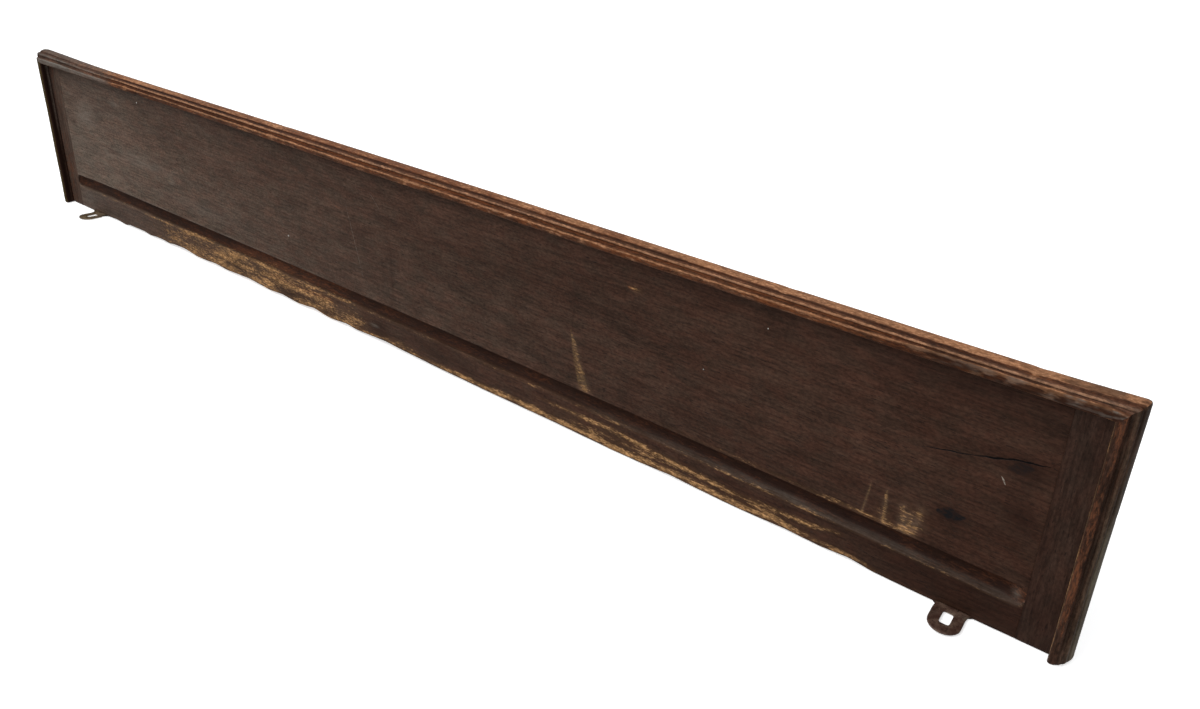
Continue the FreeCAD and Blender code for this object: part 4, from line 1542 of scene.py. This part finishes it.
        # the inner face and its arris are darkened: dirt along with painted shade, as the face turns from the
        # light
        soil = (0.3 * bells["crest"] + bells["inside"] * (1 - bells["foot"]) + 0.9 * bells["inner"]
                + 0.4 * bells["hollow"])
        ruddy = bells["crest"] * (0.6 + 0.4 * vary) + 0.9 * bells["ridge"]
        return {"wear": 0.15 * bells["ridge"] * fine, "ruddy": ruddy, "soil": soil, "haze": haze}

    def build(self) -> None:
        """Builds the front bar and both end bars."""
        self.front()
        for side in Side:
            self.end(side)


# Wall hangers

@dataclass
class WallHanger:
    """A flat plate with a leaning ear above the shelf and a worn slot through it."""

    steel: Material
    side: Side
    lean: float
    shift: float
    squat: float = 1.0
    ear_width: float = 20.0
    ear_height: float = 28.6
    offset: float = 526.5
    top: float = SHELF_TOP
    flare: float = 4.5
    front_face: float = -1.4
    back_face: float = -0.12
    body_width: float = 40.0
    body_depth: float = 44.0
    body_corner: float = 8.0
    slot_half: Point = (3.5, 6.2)
    slot_square: float = 6.0
    slot_ear_turn: float = 0.62 * math.pi

    def plate_outline(self) -> Array:
        """The outline from the crest round the body and back: arcs and straight runs.

        Returns:
            The points, one per row.
        """
        half, wide = self.ear_width / 2, self.body_width / 2
        crest, foot, corner = self.top + self.ear_height, self.top - self.body_depth, self.body_corner
        flare_top = self.top + self.flare
        flare_low = flare_top - (wide - half)
        bend, nip, turn = (wide - half) * (1 - ROOT_HALF), corner * (1 - ROOT_HALF), half * ROOT_HALF
        right = path(
            (0, crest), (24, (turn, crest - half + turn), (half, crest - half)), (12, (half, flare_top)),
            (12, (half + bend, flare_low + bend), (wide, flare_low)), (10, (wide, foot + corner)),
            (9, (wide - nip, foot + nip), (wide - corner, foot)), (8, (0, foot)))
        return np.concatenate([right, right[1:-1][::-1] * np.array([-1, 1])])

    def slot_outline(self, outer: Array) -> Array:
        """The slot's edge, matched to the outline: a superellipse at each point's own angle.

        |x/a|^n + |z/b|^n = 1 gives the reach along a direction. The ear's share of the outline
        takes the upper part of the slot, and the body's share the rest.

        Args:
            outer: the plate's outline.
        Returns:
            One point of the edge for each point of the outline.
        """
        half_count = len(outer) // 2
        ear = np.searchsorted(-outer[:half_count, 1], -(self.top + self.flare))
        half_turn = np.concatenate([np.linspace(0, self.slot_ear_turn, ear, endpoint=False),
                                    np.linspace(self.slot_ear_turn, math.pi, half_count - ear + 1)])
        angles = np.concatenate([half_turn, math.tau - half_turn[1:-1][::-1]])
        ways = np.stack([np.sin(angles), np.cos(angles)], axis=1)
        total = (np.abs(ways / np.array(self.slot_half)) ** self.slot_square).sum(axis=1, keepdims=True)
        return ways * total ** (-1 / self.slot_square)

    def build(self) -> None:
        """Builds the plate: a flat rounded section carried round the ring between slot and outline.

        A point is slot edge plus a share of the way to the outline; the depth follows the rounded
        section; the ear then leans and squats in proportion to its height.
        """
        outer = self.plate_outline()
        inner = self.slot_outline(outer)
        way = np.array([[0, 0, 0.04, 0.3, 0.6, 0.96, 1, 1, 0.96, 0.6, 0.3, 0.04]])
        deep = np.array([[0.22, 0.78, 1, 1, 1, 1, 0.78, 0.22, 0, 0, 0, 0]])
        x, z = (inner[:, [axis]] + way * (outer - inner)[:, [axis]] for axis in range(2))
        worn_in = 0.28 * (z > self.top) * smooth(way, 0.9, 1) * ripple(np.arange(len(outer)), 95, 9)[:, None]
        rise = np.maximum(z - self.top, 0)
        x = x * (1 - worn_in / self.ear_width) + self.lean * rise / self.ear_height
        x = x + self.shift * smooth(rise, 0, 8)
        z = np.where(z > self.top, self.top + rise * self.squat, z)
        y = (self.back_face + (self.front_face - self.back_face) * deep
             - 0.45 * smooth(rise, 4, self.ear_height))
        rim = np.maximum(smooth(way, 0.9, 1), smooth(way, 0.1, 0))
        vary = patches(x, z, 96, 9, 9)
        wear = (rim * 0.36 + 0.34 * bump(z, self.top + 3, 4)) * (0.4 + vary)
        soil = (0.75 * smooth(z, self.top - 2, self.top - 10) + 0.3 * (deep < 0.5)
                + 0.35 * smooth(vary, 0.5, 0.75))
        x = x + self.side.value * self.offset
        surface = Surface().tube(x, y, z, {"wear": wear, "soil": soil}, closed=True)
        surface.piece(self.side.named("wall_hanger"), "rusty_steel", self.steel, sharp=40)


# Brackets and cove strips

@dataclass
class ShapedBracket:
    """A bracket between shelf and back board, its lower edge sawn to an ogee and eased."""

    oak: Material
    node: str
    middle: float
    thickness: float = 22.0
    size: Point = (128.0, 128.0)
    back: float = -20.0
    top: float = -33.0
    eased: float = 1.3
    rings: int = 110

    def curve(self) -> Array:
        """The lower edge from front to wall as shares of depth and height, evenly spaced along it.

        Returns:
            The points, one per row.
        """
        raw = path((1, 0), (3, (1, 0.11)), (40, (0.74, 0.17), (0.62, 0.36)), (34, (0.57, 0.55), (0.38, 0.61)),
                   (4, (0.34, 0.66)), (30, (0.2, 0.74), (0.16, 0.93)), (4, (0.12, 1)), (6, (0, 1)))[2:]
        steps = np.concatenate([[0], np.cumsum(np.linalg.norm(np.diff(raw, axis=0), axis=1))])
        even = np.linspace(0, steps[-1], self.rings)
        return np.stack([np.interp(even, steps, raw[:, axis]) for axis in range(2)], axis=1)

    def build(self) -> None:
        """Builds the bracket as rings from the top edge to the ogee, carried from front to wall.

        A ring is a flat loop as wide as the board, with its two lower corners rounded; the rings at
        the front are narrower, which eases the front edges too.
        """
        low = self.curve() * self.size
        high = np.stack([np.linspace(self.size[0], 0, len(low)), np.zeros(len(low))], axis=1)
        length = np.linalg.norm(low - high, axis=1)[:, None]
        front = 1 - smooth(self.size[0] - low[:, :1], 0, 1.6)
        half = self.thickness / 2 - self.eased * front
        turn = math.pi / 2 * shares(4)
        down = shares(12)[:, :-1] * (length - self.eased)
        inset = self.eased * (1 - np.cos(turn))
        side_x = np.concatenate([np.broadcast_to(half, down.shape), half - inset], axis=1)
        side_s = np.concatenate([down, length - self.eased * (1 - np.sin(turn))], axis=1)
        across = (half - self.eased) * np.array([[0.75, 0.25, -0.25, -0.75]])
        x = np.concatenate([side_x, across, -side_x[:, ::-1]], axis=1)
        along = np.concatenate([side_s, np.broadcast_to(length, across.shape), side_s[:, ::-1]], axis=1)
        share = (along / length)[..., None]
        ahead, below = np.moveaxis(high[:, None] * (1 - share) + low[:, None] * share, 2, 0)
        corner = smooth(np.abs(x), self.thickness / 2 - 4.6, self.thickness / 2 - 1.5)
        arris = smooth(along - length, -3.2, -0.4) * (0.22 + 0.78 * corner)
        vary = patches(ahead, below + self.middle, 101, 25, 25)
        masks = {"wear": arris * (0.12 + 0.55 * vary) + 0.16 * front * corner,
                 "ruddy": 0.35 * arris + 0.2 * vary,
                 "soil": 0.55 * smooth(along, 9, 0) + 0.3 * smooth(ahead, 12, 0)}
        surface = Surface().tube(self.middle + x, self.back - ahead, self.top - below, masks)
        surface.piece(self.node, "dark_oak", self.oak)


@dataclass
class CoveStrip:
    """A hollow-faced strip in the corner of shelf and back board, from bracket to bracket."""

    oak: Material
    node: str
    low: float
    high: float
    size: float = 16.0
    margin: float = 3.0
    back: float = -20.0
    top: float = -33.0
    spacing: float = 6.0

    def build(self) -> None:
        """Builds the strip: two flats, a quarter hollow and two small fillets, carried along X."""
        size, edge = self.size, self.margin
        hollow = edge + (size - edge) * (1 - ROOT_HALF)
        ring = path((0, 0), (4, (size, 0)), (3, (size, edge - 0.5)),
                    (3, (size - 0.15, edge - 0.15), (size - 0.5, edge)),
                    (18, (hollow, hollow), (edge, size - 0.5)),
                    (3, (edge - 0.15, size - 0.15), (edge - 0.5, size)), (3, (0, size)), (4, (0, 0)))[:-1]
        x = stations(self.low, self.high, self.spacing)[:, None]
        forward, drop = ring.T[:, None]
        arris = np.maximum(bump(forward, size, 1.2) * smooth(drop, 0.2, 1.6), bump(drop, size, 1.2))
        masks = {"wear": arris * (0.08 + 0.48 * patches(x, drop, 111, 35, 6)),
                 "soil": 0.5 * bump(forward - drop, 0, 6) + 0.3 * smooth(drop, 3, 0)}
        surface = Surface().tube(x, self.back - forward, self.top - drop, masks)
        surface.piece(self.node, "dark_oak", self.oak)


# Hooks

@dataclass(frozen=True)
class Prong:
    """The side view of one prong: where it leaves the plate and how it bends upward."""

    rise: float
    start_angle: float
    straight: float
    bend_radius: float
    bend_angle: float
    tail: float
    ball: float
    radius: float = 3.6
    boss: float = 7.5
    boss_length: float = 6.0
    ball_rings: int = 16
    steps: int = 1500

    def tip(self) -> float:
        """Length of the middle line up to the centre of the ball."""
        return self.straight + self.bend_radius * math.radians(self.bend_angle) + self.tail

    def angle(self, place: Array) -> Array:
        """The line's angle above the horizontal: steady, then growing round the bend, then steady."""
        bend = self.bend_radius * math.radians(self.bend_angle)
        return math.radians(self.start_angle) + np.clip(place - self.straight, 0, bend) / self.bend_radius

    def side_view(self, count: int) -> tuple[Array, Array, Array]:
        """Places and points along the middle line, summed up from short steps at the line's angle.

        Args:
            count: how many places along the line, ending one ball radius past the tip.
        Returns:
            Place along the line, how far forward, and how far up.
        """
        tip = self.tip()
        body = np.linspace(0, tip - self.ball, count - self.ball_rings, endpoint=False)
        in_ball = np.linspace(-math.pi / 2, 0.98 * math.pi / 2, self.ball_rings)
        place = np.concatenate([body, tip + self.ball * np.sin(in_ball)])
        fine = np.linspace(0, place[-1], self.steps)
        angles = self.angle(fine[:-1])
        forward, up = (np.interp(place, fine, np.concatenate([[0], np.cumsum(turn(angles) * fine[1])]))
                       for turn in (np.cos, np.sin))
        return place, forward, up

    def radii(self, place: Array) -> Array:
        """Radius along the line: a flared boss, a rod that thins a little, a collar and a ball.

        Args:
            place: places along the line.
        Returns:
            The radius at each.
        """
        tip = self.tip()
        rod = self.radius - 0.5 * smooth(place, 0, tip)
        flare = (self.boss - self.radius) * np.clip(1 - place / self.boss_length, 0, 1) ** 2.2
        ball = np.sqrt(np.maximum(self.ball ** 2 - (place - tip) ** 2, 0))
        collar = 0.9 * bump(place, tip - self.ball - 1.2, 1.3)
        return np.where(place > tip, ball, np.maximum(rod + flare + collar, ball))


@dataclass
class CoatHook:
    """A double hook of cast iron: a plate with a raised rim, a long hat prong and a coat prong."""

    iron: Material
    number: int
    middle: float
    level: float = -115.0
    board: float = -20.0
    width: float = 24.0
    height: float = 98.0
    depth: float = 3.88
    inside: float = 2.0
    plate_points: int = 72
    prong_rings: int = 64
    prong_points: int = 26
    prongs: tuple[Prong, ...] = (Prong(15, 0, 24, 32, 62, 16, 7),
                                 Prong(-21, -45, 2, 16, 125, 8, 5.5))

    def plate(self, surface: Surface) -> None:
        """Adds the plate: rings shrink from the rim to the middle line of a rounded bar.

        The depth is that of the flat, plus a bell for the raised rim, less a quarter circle at the
        edge. The middle line runs between the centres of the two round ends.

        Args:
            surface: the hook's surface.
        """
        count = self.plate_points
        angles = np.linspace(0, math.tau, count, endpoint=False)[None] + math.pi / count
        half = self.width / 2
        spine = (self.height / 2 - half) * np.sign(np.cos(angles))
        way = np.array([1, 1, 0.985, 0.95, 0.9, 0.84, 0.78, 0.7, 0.5, 0.25, 0.04])[:, None]
        deep = np.array([0, 0.62, 0.86, 1.06, 1.14, 1.1, 1, 0.99, 1, 1, 1])[:, None] * self.depth
        masks = {"wear": bump(way, 0.9, 0.05) * 0.42, "soil": 0.5 * smooth(way, 0.82, 0.6)}
        surface.tube(self.middle + half * way * np.sin(angles), self.board - deep,
                     self.level + spine + half * way * np.cos(angles), masks)

    def prong(self, surface: Surface, prong: Prong) -> None:
        """Adds a prong: a circle of the prong's radius, square to the line, carried along it.

        Args:
            surface: the hook's surface.
            prong: the prong's sizes.
        """
        place, forward, up = (values[:, None] for values in prong.side_view(self.prong_rings))
        radius, angle, tip = prong.radii(place), prong.angle(place), prong.tip()
        turn = np.linspace(0, math.tau, self.prong_points, endpoint=False)[None]
        upper = np.cos(turn)
        y = self.board - self.inside - forward + np.sin(angle) * radius * upper
        z = self.level + prong.rise + up + np.cos(angle) * radius * upper
        masks = {"wear": 0.62 * smooth(place, tip - 2, tip + 3) * smooth(upper, -0.2, 0.9)
                 + 0.55 * smooth(upper, 0.2, 1) * bump(place, prong.straight + 12, 12),
                 "soil": 0.6 * smooth(place, 9, 1)}
        surface.tube(self.middle + radius * np.sin(turn), y, z, masks)

    def build(self) -> None:
        """Builds the plate and both prongs as one piece."""
        surface = Surface()
        self.plate(surface)
        for prong in self.prongs:
            self.prong(surface, prong)
        surface.piece(f"hook_{self.number}", "dark_cast_iron", self.iron, sharp=42)


# Pieces that keep the solids' own shape

@dataclass
class KeptPieces:
    """The CAD nodes that stay as they are and only get a finish."""

    finishes: dict[str, Material]

    def build(self) -> None:
        """Puts each node's finish into its material slots."""
        for node, finish in self.finishes.items():
            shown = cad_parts[node]
            if not shown.material_slots:
                shown.data.materials.append(finish)
            for slot in shown.material_slots:
                slot.material = finish
            log.info("%s keeps its solid's shape", node)


# Studio

@dataclass
class Studio:
    """The camera of the photograph, soft lights, and a white sheet behind and below the rack."""

    eye: Triple = (-0.68852, -0.44833, 0.55750)
    ahead: Triple = (0.5575, 0.4516, -0.6966)
    above: Triple = (0.3107, -0.8916, -0.3293)
    lens: float = 32.620
    sensor: float = 36.0
    lit: Triple = (0.0, -0.08, -0.05)
    wall: float = 0.0006
    ceiling: float = 2.5
    floor: float = -1.0
    reach: float = 5.0
    sweep: float = 0.5
    surroundings: float = 0.44

    def camera(self) -> None:
        """Makes the camera from its place, the way it looks and the way up."""
        data = bpy.data.cameras.new("photo_camera")
        data.lens, data.sensor_width, data.sensor_fit = self.lens, self.sensor, "HORIZONTAL"
        data.clip_start, data.clip_end = 0.01, 50
        camera = placed("photo_camera", data)
        ahead, above = Vector(self.ahead).normalized(), Vector(self.above).normalized()
        right = ahead.cross(above).normalized()
        turn = Matrix((right, right.cross(ahead), -ahead)).transposed()
        camera.matrix_world = Matrix.Translation(self.eye) @ turn.to_4x4()
        bpy.context.scene.camera = camera

    def light(self, name: str, place: Triple, size: float, watts: float) -> None:
        """Hangs one square soft light that faces the rack.

        Args:
            name: the lamp's name.
            place: where it hangs, in metres.
            size: length of its side, in metres.
            watts: its power.
        """
        data = bpy.data.lights.new(name, "AREA")
        data.shape, data.size, data.energy = "SQUARE", size, watts
        lamp = placed(name, data)
        lamp.location = place
        lamp.rotation_euler = (Vector(self.lit) - Vector(place)).to_track_quat("-Z", "Y").to_euler()

    def world(self) -> None:
        """Fills the surroundings with soft white, and full white where the camera sees it."""
        world = bpy.data.worlds.new("soft_white")
        bpy.context.scene.world = world
        world.use_nodes = True
        world.node_tree.nodes.clear()
        graph = Graph(world.node_tree)
        soft, bright = (graph.node("ShaderNodeBackground", {"Color": colour, "Strength": strength}).outputs[0]
                        for colour, strength in ((rgb(0.98, 0.99, 1), self.surroundings),
                                                 (rgb(1, 1, 1), 1)))
        straight = graph.node("ShaderNodeLightPath").outputs["Is Camera Ray"]
        mix = graph.node("ShaderNodeMixShader", {0: straight, 1: soft, 2: bright})
        graph.node("ShaderNodeOutputWorld", {0: mix.outputs[0]})

    def sheet(self) -> None:
        """Hangs the white sheet: the wall plane, a quarter circle, and the floor, carried along X.

        It shows no back, so the rack can be seen from behind, and it only receives light.
        """
        bend, back = self.floor + self.sweep, self.wall - self.sweep
        middle = (back + self.sweep * ROOT_HALF, bend - self.sweep * ROOT_HALF)
        profile = path((self.wall, self.ceiling), (12, (self.wall, bend)), (24, middle, (back, self.floor)),
                       (8, (-self.reach, self.floor)))
        x = np.linspace(-self.reach, self.reach, 9)
        rows = np.stack(np.broadcast_arrays(x[None], profile[:, :1], profile[:, 1:]), axis=-1)
        index = np.arange(rows[..., 0].size).reshape(rows.shape[:2])
        corners = (index[:-1, :-1], index[1:, :-1], index[1:, 1:], index[:-1, 1:])
        quads = np.stack(corners, axis=-1).reshape(-1, 4)
        mesh = bpy.data.meshes.new("white_sheet")
        mesh.from_pydata(rows.reshape(-1, 3), [], quads.tolist())
        mesh.shade_smooth()
        mesh.materials.append(Paper("white_paper").material())
        sheet = placed("white_sheet", mesh)
        sheet.visible_diffuse = sheet.visible_glossy = sheet.visible_shadow = False

    def build(self) -> None:
        """Sets the camera, the lights, the surroundings and the sheet."""
        self.camera()
        self.world()
        self.light("front_light", (0.55, -1.9, 1.25), 1.5, 30)
        self.light("top_light", (-0.3, -0.5, 2.2), 1.5, 8)
        self.light("low_light", (-0.6, -1.6, -1), 1.3, 5)
        self.light("back_light", (0.6, 1.8, -0.5), 1.3, 10)
        self.sheet()
        bpy.context.scene.view_settings.view_transform = "Standard"
        bpy.context.scene.view_settings.look = "None"


def rack() -> tuple[Any, ...]:
    """The sub-assemblies, each with its finishes.

    Returns:
        The objects to build, in order.
    """
    panel_oak = OldOak("old_oak_panel", contrast=0.8, haze=rgb(0.185, 0.155, 0.128),
                       gold=rgb(0.56, 0.31, 0.135), old_gold=rgb(0.158, 0.082, 0.034), hairlines=PANEL_LINES)
    cleat_oak = OldOak("old_oak_cleat", grain=Grain.ALONG_Y)
    front_oak = OldOak("old_oak_front_moulding", contrast=1.6, dark=rgb(0.052, 0.0195, 0.0095),
                       light=rgb(0.09, 0.037, 0.0185), gold=rgb(0.46, 0.225, 0.115),
                       old_gold=rgb(0.235, 0.1, 0.044), ruddy=rgb(0.22, 0.072, 0.026),
                       old_ruddy=rgb(0.11, 0.032, 0.0115))
    left_oak = OldOak("old_oak_left_moulding", grain=Grain.ALONG_Y, haze=rgb(0.19, 0.165, 0.115),
                      contrast=1.3)
    right_oak = OldOak("old_oak_right_moulding", grain=Grain.ALONG_Y, haze=rgb(0.26, 0.225, 0.19),
                       ruddy=rgb(0.105, 0.074, 0.022), old_ruddy=rgb(0.046, 0.03, 0.012))
    back_oak = OldOak("old_oak_back_board", edge=BoardEdge()).material()
    bracket_oak = OldOak("old_oak_bracket", grain=Grain.ALONG_Z).material()
    strip_oak = OldOak("old_oak_cove_strip").material()
    iron = CastIron("dark_cast_iron").material()
    hanger_steel = RustySteel("rusty_hanger_steel").material()
    bronzed_steel = RustySteel("bronzed_hanger_steel", rust=rgb(0.105, 0.068, 0.034),
                               scale=rgb(0.225, 0.16, 0.09)).material()
    screw_steel = RustySteel("screw_steel", rust=rgb(0.06, 0.042, 0.034),
                             scale=rgb(0.14, 0.11, 0.09)).material()
    dowel_wood = DowelWood("dowel_wood").material()
    return (
        Studio(), ShelfPanel(panel_oak.material(), cleat_oak.material()),
        EdgeMoulding(front_oak.material(), left_oak.material(), right_oak.material()),
        WallHanger(hanger_steel, Side.LEFT, lean=-3.8, shift=0.9, ear_width=21.8),
        WallHanger(bronzed_steel, Side.RIGHT, lean=1.5, shift=-3.6, squat=0.9),
        *(ShapedBracket(bracket_oak, node, middle) for node, middle in (
            ("left_bracket", -478), ("middle_bracket", 0), ("right_bracket", 478))),
        CoveStrip(strip_oak, "left_cove_strip", -466.8, -11.2),
        CoveStrip(strip_oak, "right_cove_strip", 11.2, 466.8),
        *(CoatHook(iron, number, middle) for number, middle in enumerate(
            (-391, -239, -87, 87, 239, 391), 1)),
        KeptPieces({"back_board": back_oak, "hook_screws": screw_steel, "hanger_screws": screw_steel,
                    "bracket_screws": screw_steel, "shelf_dowels": dowel_wood, "bracket_dowels": dowel_wood,
                    "moulding_brads": screw_steel}),
    )


def main() -> None:
    """Builds the studio and each sub-assembly in order."""
    logging.basicConfig(level=logging.INFO, format="%(message)s")
    for part in rack():
        part.build()


if __name__ == "__main__":
    main()
